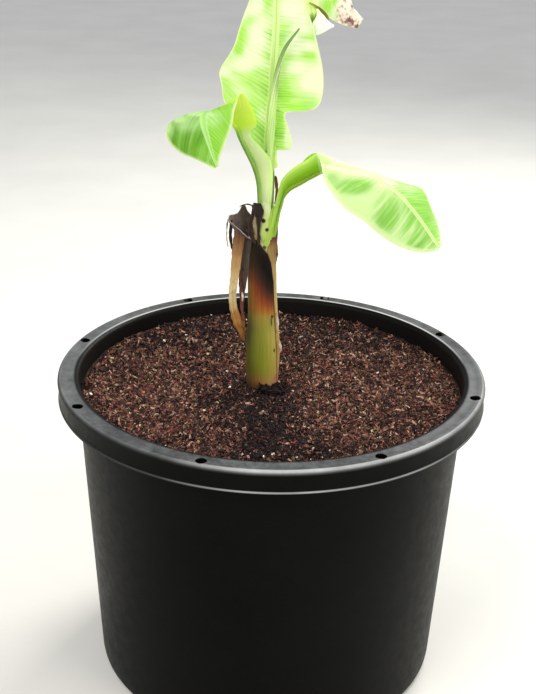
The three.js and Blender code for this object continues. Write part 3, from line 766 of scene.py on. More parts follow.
def dealt_tones(corners, shares, seed):
    """A tone number for each wedge, drawn from the shares. Along the dark streaks, in random clumps, and
    towards the back, where the darkening is painted shade, it is likelier to take a tone three steps
    darker, but no darker than the first."""
    draw = np.random.default_rng(seed)
    place = corners.mean(axis=1)
    in_streak = streak_darkness(place[:, 0], place[:, 1])
    clump = 0.5 + 0.5 * lumps(place, 34, 9)
    tone = draw.choice(len(shares), len(corners), p=np.array(shares) / sum(shares))
    # Painted shade: towards the back of the pot the bark is likelier to take a darker tone.
    shaded = 0.45 * step(place[:, 1], 60, 220)
    darker = draw.uniform(0, 1, len(corners)) < 0.85 * in_streak + 0.25 * clump + shaded
    return np.where(darker, np.maximum(tone - 3, 0), tone)


bark_tones = [bark(name, *pair) for name, pair in BARK_FAMILY.items()]
for layer in range(3):
    slivers = scatter_wedges(20000, (2.6, 10), 21 + layer)
    tones = dealt_tones(slivers, (19, 30, 14, 25, 12), 31 + layer)
    lay_wedges(f"bark_slivers_{layer + 1}", slivers, bark_tones, tones)
banked = scatter_wedges(2600, (3, 9), 51, rise=3.5, middle=STEM_FOOT, reach=34)
lay_wedges("banked_bark", banked, bark_tones, dealt_tones(banked, (30, 34, 12, 16, 8), 52))
clumps = scatter_wedges(1500, (3.5, 9), 61, tilt=0.8, rise=13.0, middle=(-2, -15), reach=17)
lay_wedges("dark_clumps", clumps, bark_tones, np.zeros(len(clumps), int))
crumb_tones = [bark(name, *pair, grain_mm=0.8, rough=0.7) for name, pair in CRUMB_FAMILY.items()]
crumbs = scatter_wedges(620, (2.0, 5.4), 41, rise=4.0, slim=(0.5, 0.9))
crumb_picks = np.random.default_rng(42).choice(len(crumb_tones), len(crumbs), p=(0.34, 0.2, 0.46))
lay_wedges("pale_crumbs", crumbs, crumb_tones, crumb_picks)

# %% [markdown]
# ## The stem and its sheaths
#
# A banana plant's stem is rolled leaf bases. Here a yellow-green core shows only in a narrow V near the
# top. Two dead sheaths wrap it: a thin tan one on the right and behind, and over it a thicker outer one
# that is still olive green below, then rusty, and black where it has rotted. Its free margin slants
# down across the front. They could be cylinders pushed about by modifiers. Here all three are grids of
# height and azimuth round a leaning axis, so that a margin or a colour can sit at a measured height. The
# azimuth is in degrees from +X, so 270 faces the front. Fine upright ridges and dents are added
# to the radius, because a smooth tube would look like plastic.

# %% Stem sizes
STEM_TOP = 742
STEM_AXIS = {"x": -13.8, "y_foot": 12.5, "y_top": 6}
STEM_BOW = {"sideways": -3.6, "height": 650, "reach": 65}
STEM_RADII = {"foot": 20.8, "top": 17.5}
STEM_BULB = {"swell": 3.2, "height": 515, "reach": 45}
SHEATH_FOOT = {"azimuth": (72, 425), "z": (453, 453)}
SHEATH_GAP = 0.5
TAN_THICKNESS = 1.5
OUTER_THICKNESS = 2.7


def stem_radius(z):
    """Radius of the green stem: a slow taper to the top, with a bulb swelling just above the soil."""
    along = (z - SOIL_LEVEL) / (STEM_TOP - SOIL_LEVEL)
    taper = STEM_RADII["foot"] + (STEM_RADII["top"] - STEM_RADII["foot"]) * along
    return taper + STEM_BULB["swell"] * bell(z, STEM_BULB["height"], STEM_BULB["reach"])


def round_stem(azimuth, z, radius):
    """Points at a radius round the stem's axis, which leans forwards and bows a little to the left."""
    along = (z - SOIL_LEVEL) / (STEM_TOP - SOIL_LEVEL)
    y_axis = STEM_AXIS["y_foot"] + (STEM_AXIS["y_top"] - STEM_AXIS["y_foot"]) * along
    x_axis = STEM_AXIS["x"] + STEM_BOW["sideways"] * bell(z, STEM_BOW["height"], STEM_BOW["reach"])
    angle = np.radians(azimuth)
    return np.stack([x_axis + radius * np.cos(angle), y_axis + radius * np.sin(angle), z], axis=-1)


def upright_ridges(azimuth, z, seed):
    """Fine ridges that run up a sheath, from -1 to 1: two wandering curves of the azimuth, whose
    lines drift a few degrees with height."""
    drift = 4 * wander(z / 60, seed)
    return 0.6 * wander((azimuth + drift) / 5, seed + 1) + 0.4 * wander((azimuth + 0.5 * drift) / 2, seed + 2)


def wrap(azimuth_ends, foot, top, off, thickness, rows, columns, seed, ridge=0.35, dent=0.5):
    """A sheath as points, faces and fields. azimuth_ends gives the first and last azimuth at a height.
    foot, top and off give the lowest and highest z and the gap to the stem at an azimuth. The
    sheath thins to a quarter of its thickness over the 9 mm below its top."""
    up = np.linspace(0, 1, rows)[:, None]
    across = np.linspace(0, 1, columns)[None, :]
    first, last = azimuth_ends(600.0)
    azimuth = first + (last - first) * across
    low, high = foot(azimuth), top(azimuth)
    z = low + (high - low) * up
    first, last = azimuth_ends(z)
    azimuth = first + (last - first) * across
    from_top = high - z
    dents = lumps(round_stem(azimuth, z, 20 + 0 * z), 16, seed) * step(z, 560, 640)
    radius = stem_radius(z) + off(azimuth) + ridge * upright_ridges(azimuth, z, seed) + dent * dents
    outer = round_stem(azimuth, z, radius + thickness * (0.25 + 0.75 * step(from_top, 0, 9)))
    points, faces = slab(outer, round_stem(azimuth, z, radius))
    to_edge = np.radians(last - azimuth) * radius
    numbers = {"height": z * MM, "turn": azimuth / 360, "from_top": from_top * MM, "to_edge": to_edge * MM}
    return points, faces, {name: np.tile((values + 0 * z).ravel(), 2) for name, values in numbers.items()}


# %% Sheath materials
BANDS_TOP = 760


def drawn_noise(tree, place, scale, detail, rough):
    """Noise with its own scale along each axis, so that it can be drawn out into streaks."""
    drawn = add(tree, "Mapping", {0: place, 3: scale})
    return add(tree, "TexNoise", {"Vector": drawn, "Scale": 1.0, "Detail": detail, "Roughness": rough})


def height_bands(tree, turn, height, stops, sway_mm=9.0, scale=38.0, tilt=0.0):
    """A colour ramp over height, with stops in millimetres, and the noise that moves it. Upright streaks
    of noise shift the height, so that the bands end in ragged tongues. tilt slants the upper bands, in
    metres for one turn round the stem: they then stand higher on the left."""
    place = add(tree, "CombineXYZ", {0: turn, 1: height})
    streak = drawn_noise(tree, place, (scale, 5.0, 1.0), 4.0, 0.6)
    shift = add(tree, "MapRange", {0: streak, 1: 0.2, 2: 0.8, 3: -sway_mm * MM, 4: sway_mm * MM})
    upper = add(tree, "MapRange", {0: height, 1: 585 * MM, 2: 625 * MM, 3: 0.0, 4: tilt})
    from_front = add(tree, "Math", {0: turn, 1: 0.77}, "SUBTRACT")
    slant = add(tree, "Math", {0: from_front, 1: upper}, "MULTIPLY")
    shift = add(tree, "Math", {0: shift, 1: slant}, "ADD")
    swayed = add(tree, "Math", {0: height, 1: shift}, "ADD")
    share = add(tree, "MapRange", {0: swayed, 1: SOIL_LEVEL * MM, 2: BANDS_TOP * MM})
    places = [((z - SOIL_LEVEL) / (BANDS_TOP - SOIL_LEVEL), colour) for z, colour in stops]
    return add(tree, "ValToRGB", {0: share}, stops=places), streak


def fibres(tree, turn, height, count=150.0):
    """Fine upright fibres: noise squeezed along the azimuth and stretched along the height."""
    place = add(tree, "CombineXYZ", {0: turn, 1: height})
    return drawn_noise(tree, place, (count, 14.0, 1.0), 5.0, 0.65)


def outer_sheath_skin():
    """A banana leaf sheath that dies from the top down: waxy olive green below, rusty orange where it
    dries, black and dull where it has rotted, with a pale papery free margin. Painted light makes its
    right side brighter, and painted shade its left side darker."""
    material, tree = new_material("dying_leaf_sheath")
    turn, height, to_edge, from_top, flush, stain = (
        add(tree, "Attribute", attribute_name=key)
        for key in ("turn", "height", "to_edge", "from_top", "flush", "stain"))
    colour, streak = height_bands(tree, turn, height, [
        (462, "#7a4f2c"), (472, "#a87a42"), (486, "#93902c"), (505, "#919a2a"), (554, "#979634"),
        (579, "#a8903e"), (587, "#b4702a"), (600, "#964a26"), (616, "#663224"), (633, "#35231b"),
        (656, "#120e0c"), (700, "#181210"),
    ], sway_mm=5.0, tilt=0.24)
    # Painted light brightens the sheath's right side below 575 mm, and painted shade darkens its left side,
    # less so higher up.
    painted_light_right = add(tree, "MapRange", {0: turn, 1: 0.76, 2: 0.86})
    low = add(tree, "MapRange", {0: height, 1: 575 * MM, 2: 550 * MM, 4: 0.75})
    painted_light_right = add(tree, "Math", {0: painted_light_right, 1: low}, "MULTIPLY")
    painted_shade_left = add(tree, "MapRange", {0: turn, 1: 0.76, 2: 0.61, 4: 0.75})
    less = add(tree, "MapRange", {0: height, 1: 560 * MM, 2: 590 * MM, 3: 1.0, 4: 0.65})
    painted_shade_left = add(tree, "Math", {0: painted_shade_left, 1: less}, "MULTIPLY")
    fibre = fibres(tree, turn, height)
    dark_fibre = add(tree, "MapRange", {0: fibre, 1: 0.5, 2: 0.75, 4: 0.5})
    dark_edge = add(tree, "MapRange", {0: to_edge, 1: 0.8 * MM, 2: 2.2 * MM, 3: 0.85, 4: 0.0})
    margin = add(tree, "MapRange", {0: from_top, 2: 2.2 * MM, 3: 0.8, 4: 0.0})
    coats = ((painted_light_right, "#d0b85e"), (painted_shade_left, "#332a0c"), (dark_fibre, "#3d2a12"), (flush, "#c07c5c"),
             (stain, "#33200f"), (dark_edge, "#2b1b12"), (margin, "#8b7266"))
    for amount, tone in coats:
        colour = add(tree, "Mix", {0: amount, 6: colour, 7: tone})
    gloss = add(tree, "MapRange", {0: height, 1: 570 * MM, 2: 620 * MM, 3: 0.4, 4: 0.12})
    skin = surface(tree, colour, streak, (0.42, 0.62), fibre, 0.5, 0.8, {"Specular IOR Level": gloss})
    add_output(tree, skin)
    return material


def tan_sheath_skin():
    """An older leaf sheath dried to pale tan paper, with a dark red stain and brown edges at its top."""
    material, tree = new_material("dry_leaf_sheath")
    turn, height = (add(tree, "Attribute", attribute_name=key) for key in ("turn", "height"))
    colour, streak = height_bands(tree, turn, height, [
        (462, "#b87a54"), (480, "#c4945a"), (520, "#c29c58"), (600, "#cfb06c"), (660, "#bb9a5e"),
        (688, "#a88a50"), (700, "#74362a"), (712, "#4f241c"), (722, "#8d6048"),
    ], sway_mm=8.0)
    fibre = fibres(tree, turn, height, 190.0)
    dark_fibre = add(tree, "MapRange", {0: fibre, 1: 0.48, 2: 0.75, 4: 0.6})
    colour = add(tree, "Mix", {0: dark_fibre, 6: colour, 7: "#6a4526"})
    add_output(tree, surface(tree, colour, streak, (0.6, 0.8), fibre, 0.5, 0.8, {"Specular IOR Level": 0.35}))
    return material


SAP_SPOTS = (((-16.9, -12.7, 729), 3.4), ((-11.5, -12.7, 715.5), 2.7), ((-15.1, -12.5, 686.5), 2.0))
SAP_BROWN = "#3a2414"


def sap_spots(tree, place):
    """1 inside the spots of dried sap: ragged circles round their middles in object space."""
    ragged_by = add(tree, "TexNoise", {"Vector": place, "Scale": 260.0, "Detail": 2.0})
    total = 0.0
    for middle, radius in SAP_SPOTS:
        metres = tuple(x * MM for x in middle)
        away = add(tree, "VectorMath", {0: place, 1: metres}, "DISTANCE", out=1)
        away = add(tree, "Math", {0: ragged_by, 1: 3 * MM, 2: away}, "MULTIPLY_ADD")
        inside = add(tree, "MapRange", {0: away, 1: (radius + 1.9) * MM, 2: (radius + 0.9) * MM})
        total = add(tree, "Math", {0: total, 1: inside}, "MAXIMUM")
    return total


def stem_skin():
    """Living leaf bases: smooth, waxy and yellow-green, a little greener at the back, with brown spots."""
    material, tree = new_material("living_stem")
    turn, height = (add(tree, "Attribute", attribute_name=key) for key in ("turn", "height"))
    bands, streak = height_bands(tree, turn, height, [
        (462, "#2e2014"), (480, "#4a3a1a"), (560, "#7e8a2c"), (640, "#b6b848"), (690, "#d4d878"),
        (715, "#c8e26c"), (742, "#bce864"),
    ], sway_mm=10.0, scale=20.0)
    place = add(tree, "TexCoord", out="Object")
    spots = add(tree, "TexVoronoi", {"Vector": place, "Scale": 60.0}, out="Distance")
    spots = add(tree, "MapRange", {0: spots, 1: 0.24, 2: 0.14, 4: 0.9})
    spots = add(tree, "Math", {0: spots, 1: sap_spots(tree, place)}, "MAXIMUM")
    off_front = add(tree, "MapRange", {0: band(tree, turn, 0.75, 0.3), 3: 0.5, 4: 0.0})
    colour = add(tree, "Mix", {0: off_front, 6: bands, 7: "#7c9440"})
    colour = add(tree, "Mix", {0: spots, 6: colour, 7: SAP_BROWN})
    fibre = fibres(tree, turn, height, 90.0)
    add_output(tree, surface(tree, colour, streak, (0.34, 0.5), fibre, 0.3, 0.6))
    return material


# %% Make the stem and sheaths
MARGIN = {
    "azimuth": (72, 130, 180, 212, 235, 265, 290, 306, 316),
    "z": (714, 714, 711, 706, 700, 689, 679, 664, 640),
}
SHEATH_MARKS = {
    "stain": ((307, 524, 4, 3.6), (299, 571, 3, 8), (303, 579, 6, 3)),
    "flush": ((318, 472, 16, 13), (300, 464, 10, 7)),
}
OUTER_EDGE = {"z": (461, 500, 540, 603, 647), "azimuth": (330, 320, 316, 315, 315)}
TAN_TOP = {"azimuth": (280, 289, 297, 332, 345, 365, 425), "z": (672, 684, 703, 716, 722, 722, 722)}


def ragged(azimuth, line, reach, seed):
    """The heights of a line over the azimuth, torn into small steps of up to reach."""
    z = np.interp(azimuth, line["azimuth"], line["z"])
    return z + reach * wander(azimuth / 3, seed) + 0.5 * reach * wander(azimuth / 1.1, seed + 1)


def ring_field(values):
    """A field for a capped tube: its grid, and then the means of the first and last rings."""
    return np.append(values.ravel(), values[[0, -1]].mean(axis=1))


def make_stem(rows=90, columns=96):
    """The stem as a closed tube with flat ends, from the soil to the fork."""
    z = np.linspace(SOIL_LEVEL - 14, STEM_TOP, rows)[:, None] + np.zeros(columns)
    azimuth = np.linspace(0, 360, columns, endpoint=False) + 0 * z
    radius = stem_radius(z) + 0.3 * upright_ridges(azimuth, z, 60) - 0.2
    fields = {"height": ring_field(z * MM), "turn": ring_field(azimuth / 360)}
    return make_piece("stem_core", *joined([capped(round_stem(azimuth, z, radius))]), [stem_skin()], fields)


def lap(azimuth):
    """How far the outer sheath stands off the stem: it climbs over the tan one near its free edge."""
    return SHEATH_GAP + (TAN_THICKNESS + SHEATH_GAP) * step(azimuth, 260, 276)


def sheath_marks(azimuth, z):
    """Fields of the outer sheath's stains and of the pink flush at its foot. Each mark is a bell curve of
    the distance from its middle, over its half sizes in degrees and mm."""
    fields = {}
    for name, marks in SHEATH_MARKS.items():
        spots = [bell(azimuth, turn, wide) * bell(z, height, high) for turn, height, wide, high in marks]
        fields[name] = 0.9 * step(np.max(spots, axis=0), 0.25, 0.7)
    return fields


place_piece(make_stem(), "stem", "stem")
tan_points, tan_faces, tan_fields = wrap(
    azimuth_ends=lambda z: (276, 425),
    foot=lambda azimuth: ragged(azimuth, SHEATH_FOOT, 1.5, 71) + 1,
    top=lambda azimuth: ragged(azimuth, TAN_TOP, 2.2, 72),
    off=lambda azimuth: SHEATH_GAP, thickness=TAN_THICKNESS, rows=180, columns=110, seed=73,
)
tan_piece = make_piece("tan_wrap", tan_points, tan_faces, [tan_sheath_skin()], tan_fields)
place_piece(tan_piece, "dry_leaf", "tan_sheath")
outer_points, outer_faces, outer_fields = wrap(
    azimuth_ends=lambda z: (72, np.interp(z, OUTER_EDGE["z"], OUTER_EDGE["azimuth"])),
    foot=lambda azimuth: ragged(azimuth, SHEATH_FOOT, 2.0, 81) + 9 * bell(azimuth, 276, 14),
    top=lambda azimuth: ragged(azimuth, MARGIN, 1.0, 82),
    off=lap, thickness=OUTER_THICKNESS, rows=240, columns=180, seed=83,
)
outer_fields.update(sheath_marks(outer_fields["turn"] * 360, outer_fields["height"] / MM))
outer_piece = make_piece("outer_wrap", outer_points, outer_faces, [outer_sheath_skin()], outer_fields)
place_piece(outer_piece, "outer_sheath", "outer_sheath")

# %% [markdown]
# ## Leaves as sheets through stations
#
# A banana leaf is a stalk that opens into a wide blade: a thick midrib with a groove along its upper
# face, and two thin halves whose side veins leave the rib close together and run out to a pale margin.
# It could be sculpted or bent with curve modifiers. Here it is drawn the way a boat is lofted: a few
# stations along the leaf give the place of the rib and of both edges, and how far each half bulges
# between them. Smooth curves run through the stations, and a grid is stretched between the curves. The
# same stations gave the solids, so each leaf lies where its solid does. On that surface a second
# function raises what the eye looks for: the groove and shoulders of the rib, the corduroy of veins,
# broad pleats, and a wavy margin.

# %% Smooth curves


def smooth_curve(knots, at):
    """A smooth curve through the knots, at whole and part knot numbers. Each span is a cubic Hermite
    curve. Its slope at a knot weighs the chords on both sides by the square root of their lengths, so
    that the curve doesn't swing out where knots lie close together."""
    padded = np.vstack([2 * knots[0] - knots[1], knots, 2 * knots[-1] - knots[-2]])
    span = np.clip(np.floor(at).astype(int), 0, len(knots) - 2)
    w = (at - span)[:, None]
    p0, p1, p2, p3 = (padded[span + i] for i in range(4))
    chords = ((p0, p1), (p1, p2), (p2, p3))
    d0, d1, d2 = (np.sqrt(np.linalg.norm(b - a, axis=1))[:, None] for a, b in chords)
    start = ((p1 - p0) / d0 - (p2 - p0) / (d0 + d1) + (p2 - p1) / d1) * d1
    end = ((p2 - p1) / d1 - (p3 - p1) / (d1 + d2) + (p3 - p2) / d2) * d1
    return ((2 * w ** 3 - 3 * w ** 2 + 1) * p1 + (w ** 3 - 2 * w ** 2 + w) * start
            + (3 * w ** 2 - 2 * w ** 3) * p2 + (w ** 3 - w ** 2) * end)


def unit(vectors):
    """The vectors, each divided by its length."""
    return vectors / np.maximum(np.linalg.norm(vectors, axis=-1, keepdims=True), 1e-9)


def even_rows(curves, last, rows):
    """Station numbers of rows that are evenly spaced along whichever curve is longest there."""
    fine = np.linspace(0, last, 3000)
    steps = [np.linalg.norm(np.diff(smooth_curve(curve, fine), axis=0), axis=1) for curve in curves]
    travelled = np.concatenate([[0], np.cumsum(np.max(steps, axis=0) + 1e-6)])
    return np.interp(np.linspace(0, travelled[-1], rows), travelled, fine)


def loft(stations, rows, columns):
    """The upper face of a leaf: points, and named numbers for each point.

    With u from -1 at the left edge to 1 at the right, a point is rib + span * |u| + up * lift. span
    runs from the rib to that half's edge, up stands square on it and on the rib, and
    lift = 4 * bulge * |u| * (1 - |u|)."""
    table = np.array([np.hstack(station) for station in stations], float)
    rib, left, right, bulge = np.split(table, (3, 6, 9), axis=1)
    last = len(table) - 1
    at = even_rows((rib, left, right), last, rows)
    middle, left, right = (smooth_curve(line, at) for line in (rib, left, right))
    forward = unit(np.gradient(middle, axis=0))
    even = np.linspace(-1, 1, columns)
    u = np.sign(even) * np.abs(even) ** 1.25
    on_left = u[None, :, None] < 0
    out = np.abs(u)[None, :, None]
    spans = np.where(on_left, (left - middle)[:, None], (right - middle)[:, None])
    up = np.where(on_left, np.cross(forward, left - middle)[:, None],
                  np.cross(right - middle, forward)[:, None])
    bulges = [np.interp(at, np.arange(last + 1), bulge[:, side])[:, None] for side in (0, 1)]
    lift = np.where(u < 0, *bulges)[..., None] * 4 * out * (1 - out)
    points = middle[:, None] + spans * out + unit(up) * lift
    travelled = np.concatenate([[0], np.cumsum(np.linalg.norm(np.diff(middle, axis=0), axis=1))])
    width = np.linalg.norm(spans, axis=-1)
    return points, {
        "station": at[:, None] + 0 * width,
        "along": travelled[:, None] + 0 * width,
        "reach": width * out[..., 0],
        "edge": width * (1 - out[..., 0]),
        "side": np.sign(u)[None] + 0 * width,
        "out": out[..., 0] + 0 * width,
    }


def facing(points):
    """Unit normals of a grid's upper face: the step towards the right edge crossed with the step
    towards the tip."""
    return unit(np.cross(np.gradient(points, axis=1), np.gradient(points, axis=0)))


# %% Relief of a leaf


def relief_of(at, rib_width, groove, shoulder, sweep, vein, pleat, ripple, blade_from, seed):
    """How far a leaf's upper face is raised, in mm.

    The rib's half width w changes along the leaf. Its groove falls by a bell curve of reach / w, and
    its shoulders rise by another centred at w, both in step with w. Veins are a sine wave over the
    distance along the leaf plus sweep times the distance from the rib. Pleats are the same lines
    wandering slowly. The margin ripples by out ** 3 times a wandering curve. Veins, pleats and
    ripples start at the station blade_from. Returns the height, w and the vein distance."""
    w = np.interp(at["station"], *rib_width)
    q = at["reach"] / w
    slope = np.where(at["side"] < 0, *(np.interp(at["station"], *half) for half in sweep))
    veins = at["along"] + slope * at["reach"] * (1 + 0.25 * at["out"])
    on_blade = step(at["station"], blade_from - 0.4, blade_from + 0.4)
    clear = step(q, 1.0, 1.8) * on_blade
    soft_edge = 1 - 0.6 * step(at["out"], 0.85, 1)
    height = (shoulder * bell(q, 1, 0.35) - groove * bell(q, 0, 0.6)) * w / 5
    height += vein["depth"] * np.sin(2 * np.pi * veins / vein["pitch"]) * clear * soft_edge
    height += pleat["depth"] * wander(veins / pleat["pitch"], seed) * clear * np.minimum(at["out"] * 1.5, 1)
    waves = wander(at["along"] / ripple["pitch"] + 50 * at["side"], seed + 1)
    return height + ripple["height"] * at["out"] ** 3 * waves * on_blade, w, veins


def patchwork(points, patches, seed, rough=0.5):
    """How strongly each point lies in soft patches, from 0 to 1. A patch has a middle (x, z) and half
    sizes, all in mm, and fades as a bell curve. Lumps 22 mm across make its outline uneven."""
    x, z = points[..., 0], points[..., 2]
    spots = [bell(x, middle[0], half[0]) * bell(z, middle[1], half[1]) for middle, half in patches]
    total = np.max(spots, axis=0)
    return step(total + rough * 0.5 * lumps(points, 22, seed) * total, 0.08, 0.9)


def leaf_part(name, upper, at, w, veins, ends, thickness, keel, material, tones):
    """The rows of a leaf from one station to another, as a thin closed body. The under face lies a
    thickness below the upper one, and below the rib it bulges by keel * sqrt(1 - (reach / w) ** 2).
    tones are further named numbers for the leaf's colours."""
    first, last = ends
    rows = np.flatnonzero((at["station"][:, 0] >= first - 1e-6) & (at["station"][:, 0] <= last + 1e-6))
    rows = slice(max(rows[0] - (first > 0), 0), rows[-1] + 1)
    body = np.interp(at["station"], *thickness) * (0.45 + 0.55 * step(at["edge"], 0, 3))
    under_rib = np.interp(at["station"], *keel) * np.sqrt(np.clip(1 - (at["reach"] / w) ** 2, 0, 1))
    under = upper - facing(upper) * (body + under_rib)[..., None]
    points, faces = slab(upper[rows], under[rows])
    numbers = {
        "along": at["along"] * MM, "reach": at["reach"] * at["side"] * MM, "edge": at["edge"] * MM,
        "rib": at["reach"] / w, "vein": veins * MM, "out": at["out"], "station": at["station"], **tones,
    }
    fields = {key: np.tile(values[rows].ravel(), 2) for key, values in numbers.items()}
    fields["under"] = np.repeat([0.0, 1.0], len(points) // 2)
    return make_piece(name, points, faces, [material], fields)


def make_leaf(leaf, upper, at, relief, tones, parts):
    """Raises a leaf's upper face by its relief and makes its stalk and its blade. Each part has its
    first and last station, its thickness and keel over the stations, a material, and any further node
    that it replaces."""
    height, w, veins = relief
    raised = upper + facing(upper) * height[..., None]
    for part, (ends, thickness, keel, material, *more) in parts.items():
        piece = leaf_part(f"{leaf}_{part}", raised, at, w, veins, ends, thickness, keel, material, tones)
        place_piece(piece, f"leaf_{part}", f"{leaf}_leaf_{part}", *more)


# %% [markdown]
# ## Leaf materials
#
# Banana leaf tissue has a waxy, satin face and lets a good part of the light through, so it glows
# yellow-green where the light is behind it. Each leaf material is a satin surface mixed with
# a translucent one. The colour pattern follows the leaf, not space: it reads the fields that were kept
# with the mesh. Side veins give stripes lighter and darker about every 6 mm, the margin is a cream line
# a few mm wide, and the midrib has cream shoulders beside a groove whose darker middle line is painted
# shade. Patches of painted sunlight and highlight, and a painted glow where light shines through, are
# laid on the leaves as colour too.

# %% Leaf tissue
WAX = {"IOR": 1.42}


def see_through(tree, shader, colour, glow, through):
    """The shader, mixed with light that comes through the leaf in its own colour, tinted by a glow."""
    lit = add(tree, "Mix", {0: 0.6, 6: colour, 7: glow}, blend_type="MULTIPLY")
    behind = add(tree, "BsdfTranslucent", {"Color": lit})
    return add(tree, "MixShader", {0: through, 1: shader, 2: behind})


def dark_lines(tree, field, bands, lines, reach_mm):
    """How dark the thin lines of veins are: the top of a sine wave over the field line, which strays
    with the bands. They are strongest beside the rib, broken, and left out where the leaf is calm."""
    distance = add(tree, "Math", {0: field["reach"]}, "ABSOLUTE")
    near = add(tree, "MapRange", {0: distance, 1: 6 * MM, 2: reach_mm * MM, 3: lines, 4: 0.0})
    broken = add(tree, "MapRange", {0: bands, 1: 0.32, 2: 0.55, 3: 1.0, 4: 0.35})
    shown = add(tree, "MapRange", {0: field["calm"], 3: 1.0, 4: 0.0})
    broken = add(tree, "Math", {0: broken, 1: shown}, "MULTIPLY")
    phase = add(tree, "Math", {0: field["line"], 1: 2 * math.pi}, "MULTIPLY")
    strayed = add(tree, "Math", {0: bands, 1: 5.0}, "MULTIPLY")
    wave = add(tree, "Math", {0: phase, 1: strayed}, "ADD")
    wave = add(tree, "Math", {0: wave}, "SINE")
    dark = add(tree, "MapRange", {0: wave, 1: 0.35, 2: 0.95})
    dark = add(tree, "Math", {0: dark, 1: near}, "MULTIPLY")
    return add(tree, "Math", {0: dark, 1: broken}, "MULTIPLY", use_clamp=True)


def leaf_tissue(name, deep, mid, pale_and_painted_light, glow, seed, band_mm, lime_and_glow, painted_groove_shade, groove, shoulder, through,
                pale_from=0.7, stripe_mm=3.2, stripes=0.5, lines=0.0, line_tone="#7d9c48", line_reach_mm=34,
                painted_glow="#f3ff6f", margin="#fbfddc", margin_mm=2.6, crisp=False):
    """Living banana leaf: satin wax over soft tissue that glows when light is behind it. Its pale tone lays
    patches of painted sunlight and highlight, its lime tone lime-green parts that are partly a painted glow
    of light through the leaf, and its bright tone a painted glow. Thin dark lines of veins show near the
    rib, and the rib's middle line is painted shade in its groove. A crisp leaf has a tip that dried to
    cream and pink paper."""
    material, tree = new_material(name)
    place = add(tree, "TexCoord", out="Object")
    field = {key: add(tree, "Attribute", attribute_name=key)
             for key in ("vein", "line", "calm", "reach", "edge", "rib", "under", "pale_and_painted_light", "lime_and_glow", "painted_glow")}
    line = add(tree, "CombineXYZ", {0: field["vein"], 1: field["reach"], 2: float(seed)})
    bands = drawn_noise(tree, line, (1 / (band_mm * MM), 9.0, 1.0), 3.0, 0.55)
    stripe = drawn_noise(tree, line, (1 / (stripe_mm * MM), 22.0, 1.0), 3.0, 0.6)
    cloud = add(tree, "TexNoise", {"Vector": place, "Scale": 15.0, "Detail": 2.0, "Roughness": 0.5})

    dark = add(tree, "MapRange", {0: stripe, 1: 0.5, 2: 0.66, 4: stripes})
    light = add(tree, "MapRange", {0: stripe, 1: 0.45, 2: 0.3, 4: 0.25})
    # Painted sunlight: where the pale field is high, the pale tone is laid over the leaf.
    painted_sunlight = add(tree, "Math", {0: field["pale_and_painted_light"], 1: 0.92}, "MULTIPLY")
    lined = dark_lines(tree, field, bands, lines, line_reach_mm)
    on_rib = add(tree, "MapRange", {0: field["rib"], 1: 1.5, 2: 1.05})
    across_rib = add(tree, "MapRange", {0: field["rib"], 1: 0.0, 2: 1.3})
    # The rib's middle line, at 0, is painted shade in its groove.
    ribbed = add(tree, "ValToRGB", {0: across_rib}, stops=[
        (0.0, painted_groove_shade), (0.14, groove), (0.4, groove), (0.6, shoulder), (0.9, shoulder),
    ])
    on_margin = add(tree, "MapRange", {0: field["edge"], 1: 0.8 * MM, 2: margin_mm * MM, 3: 0.95, 4: 0.0})
    dull = add(tree, "MapRange", {0: field["painted_glow"], 3: 1.0, 4: 0.0})
    on_margin = add(tree, "Math", {0: on_margin, 1: dull}, "MULTIPLY")
    colour = add(tree, "ValToRGB", {0: bands}, stops=[(0.34, deep), (0.5, mid), (pale_from, pale_and_painted_light)])
    coats = ((field["lime_and_glow"], lime_and_glow), (dark, deep), (light, pale_and_painted_light), (painted_sunlight, pale_and_painted_light), (lined, line_tone),
             (field["painted_glow"], painted_glow), (on_rib, ribbed), (on_margin, margin))
    for amount, tone in coats:
        colour = add(tree, "Mix", {0: amount, 6: colour, 7: tone})
    if crisp:
        colour = dried_tip(tree, colour, place)
    matt = add(tree, "MapRange", {0: field["painted_glow"], 3: 0.35, 4: 0.0})
    below = add(tree, "Math", {0: field["under"], 1: matt}, "MULTIPLY")
    colour = add(tree, "Mix", {0: below, 6: colour, 7: mid})
    waxy = surface(tree, colour, cloud, (0.36, 0.5), stripe, 0.35, 0.5, WAX)
    add_output(tree, see_through(tree, waxy, colour, glow, through))
    return material


def dried_tip(tree, colour, place):
    """The colour, turned to dry cream paper where the tone dry is high, with pink crumples, and brown ones
    where the tone scorch is high."""
    dry, scorch = (add(tree, "Attribute", attribute_name=key) for key in ("dry", "scorch"))
    crumple = add(tree, "TexNoise", {"Vector": place, "Scale": 130.0, "Detail": 3.0, "Roughness": 0.55})
    darker = add(tree, "Math", {0: scorch, 1: -0.17}, "MULTIPLY")
    crumple = add(tree, "Math", {0: crumple, 1: darker}, "ADD")
    paper = add(tree, "ValToRGB", {0: crumple}, stops=[
        (0.25, "#86625a"), (0.33, "#b8948a"), (0.4, "#ecccc0"), (0.47, "#fff4ec"), (0.62, "#fffff8"),
    ])
    return add(tree, "Mix", {0: dry, 6: colour, 7: paper})


